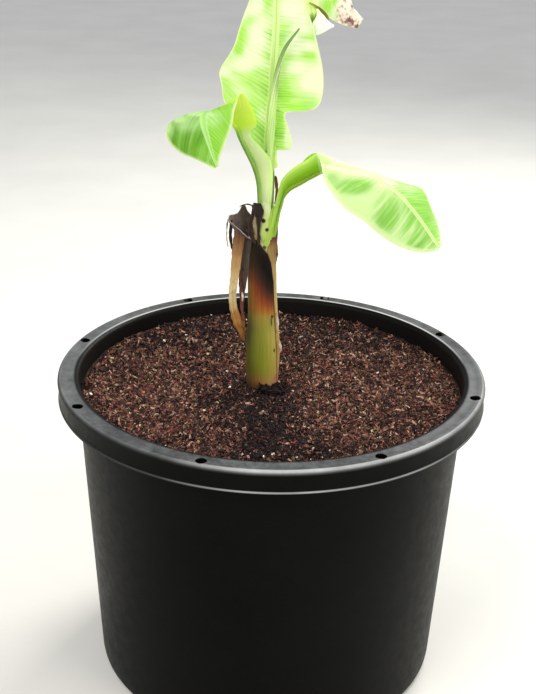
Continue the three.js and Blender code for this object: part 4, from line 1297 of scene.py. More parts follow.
def stalk_tissue(name, ramp, glow="#e4ff7a", through=0.15, streaks=0.3, opening=None):
    """A leaf stalk: smooth and waxy, pale along its ridge, with fine ribs that run up it. ramp gives
    colours from the left edge, at 0, over the rib, at 0.5, to the right edge, at 1. opening gives two
    stations, and the colour of a painted glow in the opening blade that it turns to between them."""
    material, tree = new_material(name)
    field = {key: add(tree, "Attribute", attribute_name=key) for key in ("along", "reach", "out", "station")}
    on_right = add(tree, "Math", {0: field["reach"], 1: 0.0}, "GREATER_THAN")
    half = add(tree, "MapRange", {0: on_right, 3: -0.5, 4: 0.5})
    share = add(tree, "Math", {0: field["out"], 1: half}, "MULTIPLY")
    share = add(tree, "Math", {0: share, 1: 0.5}, "ADD")
    line = add(tree, "CombineXYZ", {0: share, 1: field["along"], 2: 3.0})
    streak = drawn_noise(tree, line, (26.0, 16.0, 1.0), 4.0, 0.6)
    sway = add(tree, "MapRange", {0: streak, 1: 0.2, 2: 0.8, 3: -0.07, 4: 0.07})
    swayed = add(tree, "Math", {0: share, 1: sway}, "ADD")
    colour = add(tree, "ValToRGB", {0: swayed}, stops=ramp)
    vein = add(tree, "MapRange", {0: streak, 1: 0.55, 2: 0.75, 4: streaks})
    colour = add(tree, "Mix", {0: vein, 6: colour, 7: "#96b858"})
    # Painted glow: between the two stations the stalk takes the glowing colour of the opening blade.
    if opening:
        start, end, painted_glow = opening
        opened = add(tree, "MapRange", {0: field["station"], 1: start, 2: end})
        colour = add(tree, "Mix", {0: opened, 6: colour, 7: painted_glow})
    waxy = surface(tree, colour, streak, (0.33, 0.48), streak, 0.3, 0.5, WAX)
    add_output(tree, see_through(tree, waxy, colour, glow, through))
    return material


# %% [markdown]
# ## The right leaf
#
# This leaf's stalk leaves the stem low, rises to the right, and the blade arches over and hangs. Its near
# half hangs down towards the camera, pale and striped, and the stalk shows its lime-green hollow.

# %% Right leaf
RIGHT_LEAF = [
    ((-5, 0, 704), (-8, 8, 706), (-9, -7, 704), (-1, -2)),
    ((6.5, -4, 762), (4, 3, 765), (2, -17, 770), (-1, -2)),
    ((17, -10, 778), (14, -3, 784), (9, -25, 796), (-1, -2)),
    ((34, -16, 790), (29, -6, 802), (26, -33, 816), (-2, -3)),
    ((49, -20, 800), (43, -4, 822), (43, -38, 828), (-3, -4)),
    ((62, -24, 807), (57, -4, 829), (56, -44, 838), (-4, -4)),
    ((82, -28, 813), (84, 0, 818), (66, -74, 808), (0, 14)),
    ((103, -32, 815), (112, 2, 806), (80, -79, 788), (2, 12)),
    ((128, -36, 811), (146, 6, 795), (96, -82, 771), (2, 11)),
    ((153, -40, 797), (180, 6, 786), (122, -82, 754), (3, 10)),
    ((178, -45, 778), (212, 8, 774), (148, -80, 732), (3, 9)),
    ((204, -50, 749), (226, -4, 750), (176, -77, 715), (2, 6)),
    ((226, -55, 720), (236, -24, 726), (208, -70, 705), (1, 2)),
    ((234, -58, 709), (238, -54, 710), (231, -60, 705), (0, 0)),
]
RIGHT_GREEN = [
    ((107, 799), (33, 10)), ((157, 762), (23, 30)), ((202, 738), (36, 38)),
    ((206, 764), (36, 38)), ((222, 724), (18, 18)), ((181, 787), (28, 9)),
]
RIGHT_FAINT = [((75, 806), (14, 12))]


def make_right_leaf():
    """The right leaf's stalk and blade."""
    upper, at = loft(RIGHT_LEAF, 300, 101)
    relief = relief_of(
        at, rib_width=((0, 4.4, 5.2, 6.5, 8, 12, 13), (5, 4.5, 1.6, 1.6, 3.0, 2.6, 1.2)),
        groove=1.0, shoulder=0.7, sweep=(((0, 13), (-0.3, -0.3)), ((5, 7.5, 9.5, 13), (0.4, 0.35, 0.1, 0.0))),
        vein={"depth": 0.22, "pitch": 5.5}, pleat={"depth": 0.8, "pitch": 17},
        ripple={"height": 1.6, "pitch": 24}, blade_from=5.4, seed=101,
    )
    near_half = at["side"] > 0
    # Painted sunlight: outside the green patches the right leaf takes the pale tone, and its near half a pale
    # band along its edge.
    green = patchwork(upper, RIGHT_GREEN, 103, rough=0.3)
    green = np.maximum(green, 0.55 * patchwork(upper, RIGHT_FAINT, 104))
    tones = {
        "pale_and_painted_light": np.clip(1 - green + near_half * step(at["edge"], 10, 3), 0, 1),
        "lime_and_glow": np.where(near_half, 0.0, 0.65) * step(at["station"], 7.0, 9.0),
        "painted_glow": 0 * green,
        "line": relief[2] / 5.0,
    }
    stalk = stalk_tissue("right_stalk_tissue", [
        (0.0, "#a0d22a"), (0.3, "#94ce1a"), (0.5, "#aed440"), (0.75, "#aae028"), (1.0, "#dcf67c"),
    ], through=0.3, streaks=0.15)
    blade = leaf_tissue(
        "right_leaf_tissue", "#92ce56", "#a6e262", "#ecfdc0", "#f0ffb0", 11, band_mm=9, stripe_mm=3.8,
        through=0.34, lime_and_glow="#a8ea58", margin="#fbffd8", margin_mm=6.0, painted_groove_shade="#dcf2a4", groove="#e4f6ac",
        shoulder="#f0fcc4",
    )
    make_leaf("right", upper, at, relief, tones, {
        "stalk": ((0, 5), ((0, 4, 5), (3.2, 2.2, 1.4)), ((0, 5), (2.5, 2)), stalk),
        "blade": ((5, 13), ((5, 6, 13), (1.4, 0.9, 0.8)), ((5, 8, 13), (2.2, 1.6, 0.4)), blade),
    })


make_right_leaf()

# %% [markdown]
# ## The left leaf
#
# The left leaf stands up from the stem, folds over its own rib towards the camera and hangs to a point.
# One half lies open and shows rows of veins swept down towards the tip. The other stands
# behind the rib as a bright hood that the light shines through, and a painted glow adds to its brightness.

# %% Left leaf
LEFT_LEAF = [
    ((-20, 4, 720), (-9, -8, 720), (-17, 10, 720), (-3, -1)),
    ((-24, -4, 785), (-5, -14, 790), (-18, 4, 790), (-3, -1)),
    ((-32, -9, 812), (-9, -18, 822), (-24, -1, 818), (-3, -1)),
    ((-43, -14, 835), (-24, -21, 841), (-37, -6, 842), (-2, -1)),
    ((-51, -17, 852), (-38, -24, 860), (-45, -9, 862), (-2, -1)),
    ((-58, -21, 868), (-29, -30, 874), (-56, -6, 884), (-3, -2)),
    ((-73, -32, 887), (-36, -40, 901), (-82, -12, 887), (-4, -2)),
    ((-90, -46, 895), (-50, -56, 922), (-124, -24, 883), (-2, 2)),
    ((-100, -60, 894), (-58, -68, 905), (-153, -44, 873), (2, 6)),
    ((-100, -69, 882), (-62, -74, 882), (-149, -66, 857), (2, 8)),
    ((-95, -76, 866), (-69, -80, 862), (-133, -76, 844), (2, 5)),
    ((-88, -83, 846), (-76, -86, 843), (-108, -84, 835), (1, 2)),
    ((-81, -90, 829), (-79, -91, 829), (-85, -91, 826), (0, 0)),
]
# Patches of painted sunlight on the left leaf, and of a painted highlight along its top edge.
LEFT_PAINTED_LIGHT = [((-124, 885), (32, 13)), ((-149, 874), (9, 14)), ((-90, 891), (18, 12))]
LEFT_RIM_HIGHLIGHT = [((-112, 895), (28, 4.0)), ((-139, 886), (12, 4.5)), ((-152, 876), (5, 9))]
LEFT_LIME = [((-103, 842), (20, 16)), ((-84, 834), (14, 14))]
# The colour of the painted glow where light shines through the left leaf's opening.
OPENING_PAINTED_GLOW = "#f4ff7c"


def make_left_leaf():
    """The left leaf's stalk and blade."""
    upper, at = loft(LEFT_LEAF, 280, 101)
    relief = relief_of(
        at, rib_width=((0, 5, 7, 8.5, 10, 12), (4.5, 4.5, 3.4, 4.0, 2.9, 1.2)), groove=0.3, shoulder=0.5,
        sweep=(((0, 12), (-0.75, -0.75)), ((0, 12), (-1.0, -1.0))), vein={"depth": 0.3, "pitch": 6.5},
        pleat={"depth": 0.6, "pitch": 15}, ripple={"height": 1.4, "pitch": 19}, blade_from=6.4, seed=201,
    )
    inner_half = at["side"] < 0
    # Painted sunlight on the top of the left leaf's open half, and a painted highlight along its top rim.
    pale_and_painted_light, rim = patchwork(upper, LEFT_PAINTED_LIGHT, 203), patchwork(upper, LEFT_RIM_HIGHLIGHT, 204)
    tones = {
        "pale_and_painted_light": np.clip(0.55 * pale_and_painted_light + 1.1 * rim, 0, 1),
        # Painted glow: the inner half, a hood that light shines through, takes the lime tone, and near its
        # opening the bright one.
        "lime_and_glow": np.where(inner_half, 0.85, 0.4 * patchwork(upper, LEFT_LIME, 205)),
        "painted_glow": inner_half * step(at["station"], 7.8, 7.2),
        "line": relief[2] / 9.0,
        "calm": 0 * relief[2],
    }
    # The cream stops are partly the ridge's own colour and partly painted light, and the dark green side is
    # partly painted shade.
    stalk = stalk_tissue("left_stalk_tissue", [
        (0.0, "#f0ffc4"), (0.14, "#ffffec"), (0.3, "#fdffdc"), (0.42, "#d8f496"), (0.52, "#7eac40"),
        (0.75, "#8cbc48"), (1.0, "#a8d656"),
    ], glow="#f2ffc0", through=0.6, streaks=0.15, opening=(4.3, 5.2, OPENING_PAINTED_GLOW))
    blade = leaf_tissue(
        "left_leaf_tissue", "#74b22a", "#86c834", "#e6ffc4", "#f4ff9c", 12, band_mm=16, pale_from=1.0,
        stripes=0.12, painted_glow=OPENING_PAINTED_GLOW, lines=0.3, line_tone="#6aa63a", line_reach_mm=44, through=0.45,
        lime_and_glow="#b8f05a", margin="#fbffd4", margin_mm=5.0, painted_groove_shade="#bcea88", groove="#ccf69c",
        shoulder="#dcfcb0",
    )
    make_leaf("left", upper, at, relief, tones, {
        "stalk": ((0, 6), ((0, 4, 6), (3.0, 2.0, 1.2)), ((0, 6), (2, 2)), stalk),
        "blade": ((6, 12), ((6, 7, 12), (1.2, 0.9, 0.8)), ((6, 9, 12), (2, 1.4, 0.4)), blade),
    })


make_left_leaf()

# %% [markdown]
# ## The centre leaf
#
# The tallest leaf stands upright behind the others and arches away at the top. Its right half was torn: a
# narrow strip is left beside the stalk, then a lobe, then the full width above a level tear. The grid
# simply follows the torn edge, because the right edge's stations step in and out there.

# %% Centre leaf
CENTRE_LEAF = [
    ((-10, 17, 722), (-16, 12, 722), (-4, 12, 722), (-1, -1)),
    ((-11, 17, 790), (-18, 11, 790), (-3, 11, 790), (-1, -1)),
    ((-12, 16, 826), (-19, 10, 826), (-4, 10, 826), (-1, -1)),
    ((-12, 16, 830), (-30, 10, 831), (21, 10, 831), (-1, -2)),
    ((-11, 16, 856), (-56, 6, 868), (16, 10, 858), (-3, -2)),
    ((-10, 16, 884), (-74, 2, 897), (10, 10, 881), (-5, -2)),
    ((-10, 16, 888), (-76, 2, 901), (54, 2, 893), (-5, -4)),
    ((-8, 16, 905), (-79, 2, 920), (62, 2, 910), (-6, -5)),
    ((-7, 17, 940), (-82, 4, 940), (61, 4, 941), (-6, -5)),
    ((-6, 20, 972), (-64, 8, 970), (54, 6, 975), (-5, -4)),
    ((-5, 24, 1004), (-54, 14, 1004), (46, 12, 1004), (-4, -3)),
    ((-5, 30, 1037), (-42, 22, 1037), (31, 20, 1037), (-3, -2)),
    ((-4, 38, 1072), (-32, 34, 1076), (24, 28, 1076), (-2, -1)),
    ((4, 52, 1100), (-20, 58, 1106), (32, 36, 1096), (-1, 0)),
    ((28, 68, 1104), (10, 88, 1104), (44, 42, 1078), (1, 3)),
    ((56, 78, 1082), (50, 104, 1076), (54, 48, 1025), (2, 5)),
    ((80, 86, 1050), (82, 110, 1042), (70, 60, 1007), (2, 5)),
    ((102, 91, 1018), (108, 104, 1018), (90, 74, 996), (1, 2)),
    ((117, 94, 996), (121, 98, 1002), (113, 90, 989), (0, 0)),
]
# Patches of painted sunlight on the centre leaf.
CENTRE_PAINTED_LIGHT = [
    ((-33, 1028), (13, 14)), ((-30, 985), (17, 30)), ((-48, 948), (24, 14)), ((-75, 941), (13, 9)),
    ((17, 1023), (28, 25)), ((58, 975), (9, 26)), ((46, 930), (24, 26)), ((58, 932), (12, 36)),
    ((16, 850), (7, 22)), ((14, 1050), (24, 30)), ((28, 1012), (20, 14)), ((38, 976), (22, 9)),
    ((22, 978), (16, 20)), ((30, 1000), (20, 14)), ((28, 944), (22, 13)),
]
CENTRE_CALM = [((20, 1040), (34, 46)), ((50, 935), (22, 34)), ((24, 984), (28, 24)), ((26, 948), (28, 14))]
CENTRE_LIME = [
    ((-17, 1031), (9, 10)), ((-38, 1006), (13, 9)), ((-50, 988), (10, 14)), ((-56, 971), (8, 14)),
    ((-40, 884), (16, 18)), ((10, 1000), (16, 3.2)), ((36, 989), (16, 3.4)), ((14, 980), (12, 3)),
    ((44, 962), (11, 4)), ((10, 908), (9, 28)), ((24, 890), (18, 6)), ((3, 864), (6, 18)),
]
TIP_LIME = [((79, 1029), (11, 9)), ((66, 1024), (8, 12))]
TIP_SCORCH = [((95, 1001), (9, 5)), ((104, 1018), (4, 4)), ((112, 991), (4, 5)), ((106, 999), (5, 4))]


def make_centre_leaf():
    """The centre leaf's stalk, and its blade with the arching tip in one piece."""
    upper, at = loft(CENTRE_LEAF, 420, 121)
    height, w, veins = relief_of(
        at, rib_width=((0, 2, 3, 8, 10, 12, 14, 18), (5, 5.3, 5.6, 4.6, 3.6, 3.2, 2.8, 0.8)), groove=1.8,
        shoulder=0.9, sweep=(((0, 18), (-0.5, -0.5)), ((0, 18), (0.05, 0.05))),
        vein={"depth": 0.3, "pitch": 6.5}, pleat={"depth": 0.9, "pitch": 21},
        ripple={"height": 1.8, "pitch": 27}, blade_from=2.6, seed=301,
    )
    height += 2.5 * lumps(upper, 9, 305) * step(at["station"], 16.0, 17.2)
    over = step(at["station"], 13.2, 14.6)
    tip_lime = patchwork(upper, TIP_LIME, 308, rough=0.3)
    # Painted sunlight lies in the pale patches and, outside its lime patches, on the hanging tip.
    pale_and_painted_light = patchwork(upper, CENTRE_PAINTED_LIGHT, 303, rough=0.3)
    lime_and_glow = patchwork(upper, CENTRE_LIME, 304, rough=0.3)
    tones = {
        "pale_and_painted_light": pale_and_painted_light * (1 - over) + 0.6 * over * (1 - tip_lime),
        "lime_and_glow": 0.85 * lime_and_glow * (1 - over) + over * (0.55 + 0.45 * tip_lime),
        "painted_glow": 0 * over,
        "calm": patchwork(upper, CENTRE_CALM, 310, rough=0.3),
        "dry": step(at["station"] + 0.5 * lumps(upper, 14, 306), 15.9, 16.6),
        "scorch": patchwork(upper, TIP_SCORCH, 309) * over,
        "line": veins / np.where(at["side"] < 0, 6.6, 3.8),
    }
    stalk = stalk_tissue("centre_stalk_tissue", [
        (0.0, "#a4c85a"), (0.3, "#bfe07a"), (0.5, "#aed068"), (0.8, "#cbe88a"), (1.0, "#dcf0a4"),
    ])
    blade = leaf_tissue(
        "centre_leaf_tissue", "#b0e46a", "#d6f792", "#fffff0", "#f8ffca", 13, band_mm=34, stripes=0.08,
        lines=0.85, line_tone="#86a652", line_reach_mm=36, through=0.36, lime_and_glow="#bef258",
        painted_groove_shade="#b4d272", groove="#e6f8ae", shoulder="#f0fcc4", crisp=True,
    )
    make_leaf("centre", upper, at, (height, w, veins), tones, {
        "stalk": ((0, 2), ((0, 2), (2.6, 1.6)), ((0, 2), (3, 3)), stalk),
        "blade": ((2, 18), ((2, 4, 18), (1.4, 0.9, 0.8)), ((2, 9, 18), (4, 3, 0.4)), blade,
                  "centre_leaf_tip"),
    })


make_centre_leaf()

# %% [markdown]
# ## The spear leaf
#
# The youngest leaf is still rolled: a slim grey-green spear that leans to the right at its tip. It is a
# tube whose radius grows slowly with the angle and then drops back, which leaves the step of one rolled
# edge winding up it.

# %% Spear leaf
SPEAR = [
    ((-9, 5, 738), 4), ((-9, 5, 790), 4.5), ((-9, 7, 845), 5), ((-6, 9, 903), 5),
    ((-2, 10, 938), 3.8), ((8, 10, 972), 2.6), ((27, 8, 1000), 1.2),
]
SPEAR_LENGTH = 280


def rolled_tube(stations, rows, sides, lap_mm, winds):
    """A tube along a smooth curve. At angle a, counted from the rolled edge, the radius is
    r + lap * (a / full turn - 0.5), and the edge turns winds times from foot to tip."""
    knots = np.array([place for place, _ in stations], float)
    at = np.linspace(0, len(knots) - 1, rows)
    middle = smooth_curve(knots, at)
    radius = np.interp(at, np.arange(len(knots)), [r for _, r in stations])[:, None]
    forward = unit(np.gradient(middle, axis=0))
    side = unit(np.cross([0.0, 1.0, 0.0], forward))
    front = np.cross(forward, side)
    angle = np.linspace(0, 2 * np.pi, sides, endpoint=False)[None]
    share = np.mod(angle / (2 * np.pi) - winds * at[:, None] / at[-1] - 0.3, 1)
    rolled = radius + lap_mm * (share - 0.5) * np.minimum(radius / 4, 1)
    ring = side[:, None] * np.cos(angle)[..., None] + front[:, None] * np.sin(angle)[..., None]
    return middle[:, None] + ring * rolled[..., None], share


def spear_tissue():
    """A rolled young leaf: grey-green under a bloom of wax, with the pale line of its rolled edge. Its
    upper part takes the darker tones as painted shade, and its lower part the paler ones as painted light.
    """
    material, tree = new_material("rolled_leaf_tissue")
    along, share = (add(tree, "Attribute", attribute_name=key) for key in ("along", "share"))
    line = add(tree, "CombineXYZ", {0: share, 1: along})
    streak = drawn_noise(tree, line, (18.0, 22.0, 1.0), 4.0, 0.5)
    low_tones = [(0.3, "#5f7f45"), (0.55, "#7fa05c"), (0.75, "#a4c47c")]
    high_tones = [(0.3, "#a4c86a"), (0.55, "#cdea96"), (0.75, "#e6f8be")]
    shaded, lit = (add(tree, "ValToRGB", {0: streak}, stops=tones) for tones in (low_tones, high_tones))
    low = add(tree, "MapRange", {0: along, 1: 200 * MM, 2: 130 * MM})
    colour = add(tree, "Mix", {0: low, 6: shaded, 7: lit})
    edge = add(tree, "MapRange", {0: share, 1: 0.9, 2: 0.98, 4: 0.8})
    colour = add(tree, "Mix", {0: edge, 6: colour, 7: "#e4f0bc"})
    add_output(tree, surface(tree, colour, streak, (0.4, 0.55), streak, 0.3, 0.4, WAX))
    return material


def make_spear(rows=200, sides=40):
    """The spear leaf as a closed tube."""
    wall, share = rolled_tube(SPEAR, rows, sides, lap_mm=0.9, winds=0.8)
    along = np.linspace(0, SPEAR_LENGTH, rows)[:, None] * MM + 0 * share
    fields = {"along": ring_field(along), "share": ring_field(share)}
    return make_piece("spear", *joined([capped(wall)]), [spear_tissue()], fields, sharp_degrees=180)


place_piece(make_spear(), "leaf_stalk", "spear_leaf")

# %% [markdown]
# ## The dead outer leaf
#
# On the left the oldest leaf has died. Its stalk's foot hangs open as a grey-brown hood, and dry strips of
# it trail down: a long straw-coloured one, a dark one, and scraps. Cloth simulation would drape such strips
# but not these particular ones, so each is a loft again. A scrap is described more briefly, by the
# places, widths and turns of a ribbon. Drying shrinks a leaf unevenly, so every strip is
# crumpled: lumps of noise push it along its normals, and its edges are torn by a wandering curve.

# %% Dry strips


def crumpled(stations, rows, columns, seed, lump_mm=9.0, crumple_mm=1.2, folds_mm=0.4, torn=0.1):
    """A loft's surface, dried up: edges torn in and out by a share of the width, soft lumps along the
    normal, and lengthwise folds. Returns points and fields."""
    upper, at = loft(stations, rows, columns)
    rib = upper[:, columns // 2][:, None]
    tear = 1 + torn * at["out"] ** 3 * wander(at["along"] / 6 + 40 * at["side"], seed)
    upper = rib + (upper - rib) * tear[..., None]
    push = crumple_mm * lumps(upper, lump_mm, seed) * (0.4 + 0.6 * at["out"])
    stray = 0.4 * wander(at["along"] / 20, seed + 1)
    push += folds_mm * wander(at["reach"] * at["side"] / 2.2 + stray, seed + 2)
    return upper + facing(upper) * push[..., None], at


def dry_piece(name, stations, material, rows, columns, thickness=0.7, **crumple):
    """A closed thin piece of dry leaf."""
    upper, at = crumpled(stations, rows, columns, **crumple)
    points, faces = slab(upper, upper - facing(upper) * thickness)
    numbers = {
        "along": at["along"] * MM, "reach": at["reach"] * at["side"] * MM, "edge": at["edge"] * MM,
        "share": at["along"] / at["along"].max(),
    }
    fields = {key: np.tile(values.ravel(), 2) for key, values in numbers.items()}
    return make_piece(name, points, faces, [material], fields)


def dry_leaf(name, stops, streak, seed, streaks=0.5, edge_tone=None, rough=(0.6, 0.8), spots=False):
    """Dead banana leaf: a thin dry skin over papery fibre. Colours change along the strip, from its
    upper end at 0 to its lower one at 1, with darker fibres and blotches of mould."""
    material, tree = new_material(name)
    along, reach, share, edge = (
        add(tree, "Attribute", attribute_name=key) for key in ("along", "reach", "share", "edge"))
    place = add(tree, "TexCoord", out="Object")
    line = add(tree, "CombineXYZ", {0: reach, 1: along, 2: float(seed)})
    fibre = drawn_noise(tree, line, (620.0, 26.0, 1.0), 4.0, 0.6)
    blotch = add(tree, "TexNoise", {"Vector": place, "Scale": 90.0, "Detail": 4.0, "Roughness": 0.6})
    sway = add(tree, "MapRange", {0: fibre, 1: 0.2, 2: 0.8, 3: -0.08, 4: 0.08})
    swayed = add(tree, "Math", {0: share, 1: sway}, "ADD")
    colour = add(tree, "ValToRGB", {0: swayed}, stops=stops)
    coats = [
        (add(tree, "MapRange", {0: fibre, 1: 0.52, 2: 0.72, 4: streaks}), streak),
        (add(tree, "MapRange", {0: blotch, 1: 0.58, 2: 0.72, 4: streaks}), streak),
    ]
    if edge_tone:
        coats.append((add(tree, "MapRange", {0: edge, 1: 0.3 * MM, 2: 1.6 * MM, 3: 0.85, 4: 0.0}), edge_tone))
    if spots:
        coats.append((sap_spots(tree, place), SAP_BROWN))
    for amount, tone in coats:
        colour = add(tree, "Mix", {0: amount, 6: colour, 7: tone})
    add_output(tree, surface(tree, colour, blotch, rough, fibre, 0.6, 0.6, {"Specular IOR Level": 0.35}))
    return material


# %% The hood and the long strips
HOOD = [
    ((-38.5, 7.5, 690), (-33, -10.5, 701), (-34, 22, 724), (-2, -2)),
    ((-43, 6, 691), (-41, -13, 706), (-40, 21, 729), (-2, -3)),
    ((-49, 4, 698), (-49, -12, 714), (-46.5, 19, 740), (-2, -3)),
    ((-58, 3, 708), (-60, -9, 722), (-57, 14, 733), (-1, -2)),
    ((-68, 0, 724), (-70, -5, 729), (-68, 5, 730), (0, 0)),
]
STRAW_STRIP = [
    ((-51, -14, 708), (-44, -16, 705), (-59, -12, 713), (0, 0)),
    ((-55, -15, 668), (-48, -16, 668), (-63, -13, 668), (1, 1)),
    ((-60, -14, 626), (-54.5, -14, 626), (-66, -12, 626), (1, 1)),
    ((-60, -12, 596), (-55, -11, 598), (-66, -12, 596), (1, 1)),
    ((-54, -12, 570), (-47, -11, 576), (-60, -12, 570), (1, 1)),
    ((-43, -11, 538), (-41, -10, 540), (-46, -11, 538), (0, 0)),
]
DARK_STRIP = [
    ((-40, -8, 700), (-33, -10, 702), (-47, -4, 702), (0, 0)),
    ((-44.5, -7, 640), (-39.5, -8, 640), (-50, -4, 641), (1, 1)),
    ((-46, -5, 590), (-43.5, -6, 590), (-48.5, -3, 591), (1, 1)),
    ((-43, -5, 552), (-41, -6, 552), (-45, -4, 552), (0, 0)),
]


def make_long_strips():
    """The hood, the straw strip and the dark strip."""
    hood = dry_piece("open_hood", HOOD, dry_leaf("weathered_hood", [
        (0.0, "#4e3e3b"), (0.25, "#6c5a57"), (0.6, "#7e6c69"), (1.0, "#8a7873"),
    ], "#3a2824", 21, edge_tone="#b8a9a4"), rows=90, columns=81, seed=401, crumple_mm=1.6, folds_mm=0.8)
    place_piece(hood, "dead_leaf", "dead_hood")
    straw = dry_piece("straw_ribbon", STRAW_STRIP, dry_leaf("straw_leaf", [
        (0.0, "#5c3822"), (0.16, "#9a7044"), (0.28, "#c09a62"), (0.5, "#e0ca98"), (0.66, "#d2b47c"),
        (0.72, "#b07c3c"), (0.9, "#a06c2e"), (1.0, "#5a3416"),
    ], "#7a563a", 22), rows=240, columns=49, seed=411)
    place_piece(straw, "dry_leaf", "straw_strip")
    dark = dry_piece("dark_ribbon", DARK_STRIP, dry_leaf("dark_leaf", [
        (0.0, "#4a3e34"), (0.3, "#544a40"), (0.55, "#56443a"), (0.8, "#5e3828"), (1.0, "#3a2415"),
    ], "#241a15", 23, streaks=0.6), rows=220, columns=41, seed=421, crumple_mm=1.8)
    place_piece(dark, "dead_leaf", "dark_strip")


make_long_strips()

# %% [markdown]
# ## Scraps of the dead leaf
#
# Small torn pieces cling to the stem: a dark flap that curls over in front of the left stalk, the folded
# column at the hood's end, a beige inner strip, thin mauve and orange strips beside the straw one, a pale
# fleck on the mauve strip that is a painted glint, grey slivers at the far left, and dried edges between
# the stalks.

# %% Scraps
SCRAPS = {
    "dark_flap": ("rotten", (
        (-26, -15, 756, 12, -20), (-24, -17, 745, 16, 10), (-23.5, -16, 731, 8.5, -15),
        (-24, -15, 714, 4.5, 15), (-22.5, -15, 700, 5, -10), (-24, -14, 692, 2, 0))),
    "fold_column": ("rotten", (
        (-33, -3, 750, 4, 10), (-32, -8, 738, 6, -30), (-35, -10, 722, 10, -45),
        (-34, -12, 706, 9, -30), (-29, -13, 694, 3, -20))),
    "hood_rim": ("rotten", (
        (-52, 12, 742, 3.6, 60), (-45, 10, 746, 4.6, 40), (-38, 6, 747.5, 4.4, 35), (-30, 0, 746, 4.6, 30))),
    "beige_scrap": ("beige", (
        (-28, -13, 738, 4, -20), (-29.5, -12.5, 726, 6, -10), (-28.5, -13, 712, 6, -20),
        (-27, -13, 700, 3, -10))),
    "mauve_scrap": ("mauve", (
        (-48.5, -10, 682, 3.5, 35), (-50, -11, 640, 4, 20), (-48, -11, 608, 4.5, 30),
        (-46, -10, 580, 4, 25), (-43, -10, 545, 2, 20))),
    # A bone-pale fleck on the mauve strip that stands for a glint: a painted highlight.
    "glint_fleck": ("bone", (
        (-46.5, -13, 618, 1.2, 10), (-46, -14, 614, 3.2, 25), (-45.5, -14, 608, 3.0, 0),
        (-46, -13, 603, 1.0, 10))),
    "orange_scrap": ("rust", (
        (-46, -13, 590, 1.5, 10), (-44, -14, 574, 3, 0), (-42, -14, 556, 2.5, 20), (-42, -13, 546, 1, 10))),
    "far_sliver": ("beige", (
        (-69, -2, 726, 2, 60), (-70.5, -2, 708, 2.6, 40), (-70, -1, 694, 2.2, 70), (-68, 0, 684, 0.8, 50))),
    "brown_sliver": ("rotten", (
        (-63, -4, 727, 4, 20), (-65, -5, 706, 5.5, 10), (-63, -5, 688, 4.5, 25), (-61, -6, 676, 1.5, 10))),
    "stalk_sliver": ("beige", (
        (-5.5, 8, 798, 1.5, 0), (-5, 9, 778, 2.6, 5), (-5, 9, 760, 2.6, 0), (-5, 8, 748, 2, 0))),
    "stalk_scrap": ("rust", (
        (-1, 10, 790, 2, -10), (0.5, 9, 778, 5, 15), (1.5, 8, 764, 4.5, -5), (0, 8, 748, 4, 0))),
    "sheath_curl": ("rust", (
        (2, -4, 700, 1.5, 30), (3.5, -5, 688, 3, 55), (4, -5, 674, 3, 25), (2.5, -6, 662, 1.2, 60))),
    "peach_curl": ("bone", (
        (5, -3, 582, 1.5, 0), (7, -5, 572, 3.5, 25), (7.5, -5, 562, 3.0, -10), (6, -5, 550, 1.0, 10))),
    "white_curl": ("bone", (
        (10.5, -4, 538, 1.2, -15), (12, -6, 530, 3.8, 20), (13.5, -6, 524, 3.0, 0), (12, -6, 518, 1.0, 10))),
}
SCRAP_BULGE = 0.6
SCRAP_TONES = {
    "rotten": dry_leaf("rotten_scrap", [(0.0, "#1f1411"), (0.5, "#2c1b16"), (1.0, "#3a241c")],
                       "#120c0a", 31, edge_tone="#4d3a30"),
    "rust": dry_leaf("rusty_scrap", [(0.0, "#6e4226"), (0.5, "#8a5a32"), (1.0, "#7a4a28")], "#3d2114", 32),
    "beige": dry_leaf("beige_scrap", [(0.0, "#9c8c6c"), (0.5, "#b8a67e"), (1.0, "#9c8660")], "#5a4a38", 33),
    "mauve": dry_leaf("mauve_scrap", [
        (0.0, "#4e302b"), (0.35, "#6b3a34"), (0.6, "#7d4a44"), (1.0, "#7a3f24"),
    ], "#33191a", 34),
    "bone": dry_leaf("bone_scrap", [(0.0, "#c99a78"), (0.5, "#e9ddd0"), (1.0, "#d8b08e")],
                     "#9a7358", 35, streaks=0.3),
}


def ribbon(rows):
    """Stations of a scrap, from rows of x, y, z, width and turn. A width lies level, and its turn is in
    degrees from +X."""
    stations = []
    for x, y, z, width, turn in rows:
        centre = np.array([x, y, z], float)
        half = 0.5 * width * np.array([math.cos(math.radians(turn)), math.sin(math.radians(turn)), 0.0])
        stations.append((centre, centre - half, centre + half, (SCRAP_BULGE, SCRAP_BULGE)))
    return stations


for number, (name, (tone, rows)) in enumerate(SCRAPS.items()):
    scrap = dry_piece(name, ribbon(rows), SCRAP_TONES[tone], rows=90, columns=21, thickness=0.5,
                      seed=500 + 10 * number, lump_mm=5.0, crumple_mm=1.0, folds_mm=0.25, torn=0.2)
    place_piece(scrap, "dry_leaf")

# %% [markdown]
# At the centre leaf's arching end the blade is torn. A green flap, a white one and a shaded strip
# hang between the blade and its tip, and a narrow green strip is left beside the stalk below the lobes.
# The white is partly dry leaf and partly a painted highlight, and the green flap's dark lower end is
# painted shade.
# Where the two outer stalks meet the stem, each spreads into a short tongue that hugs it.

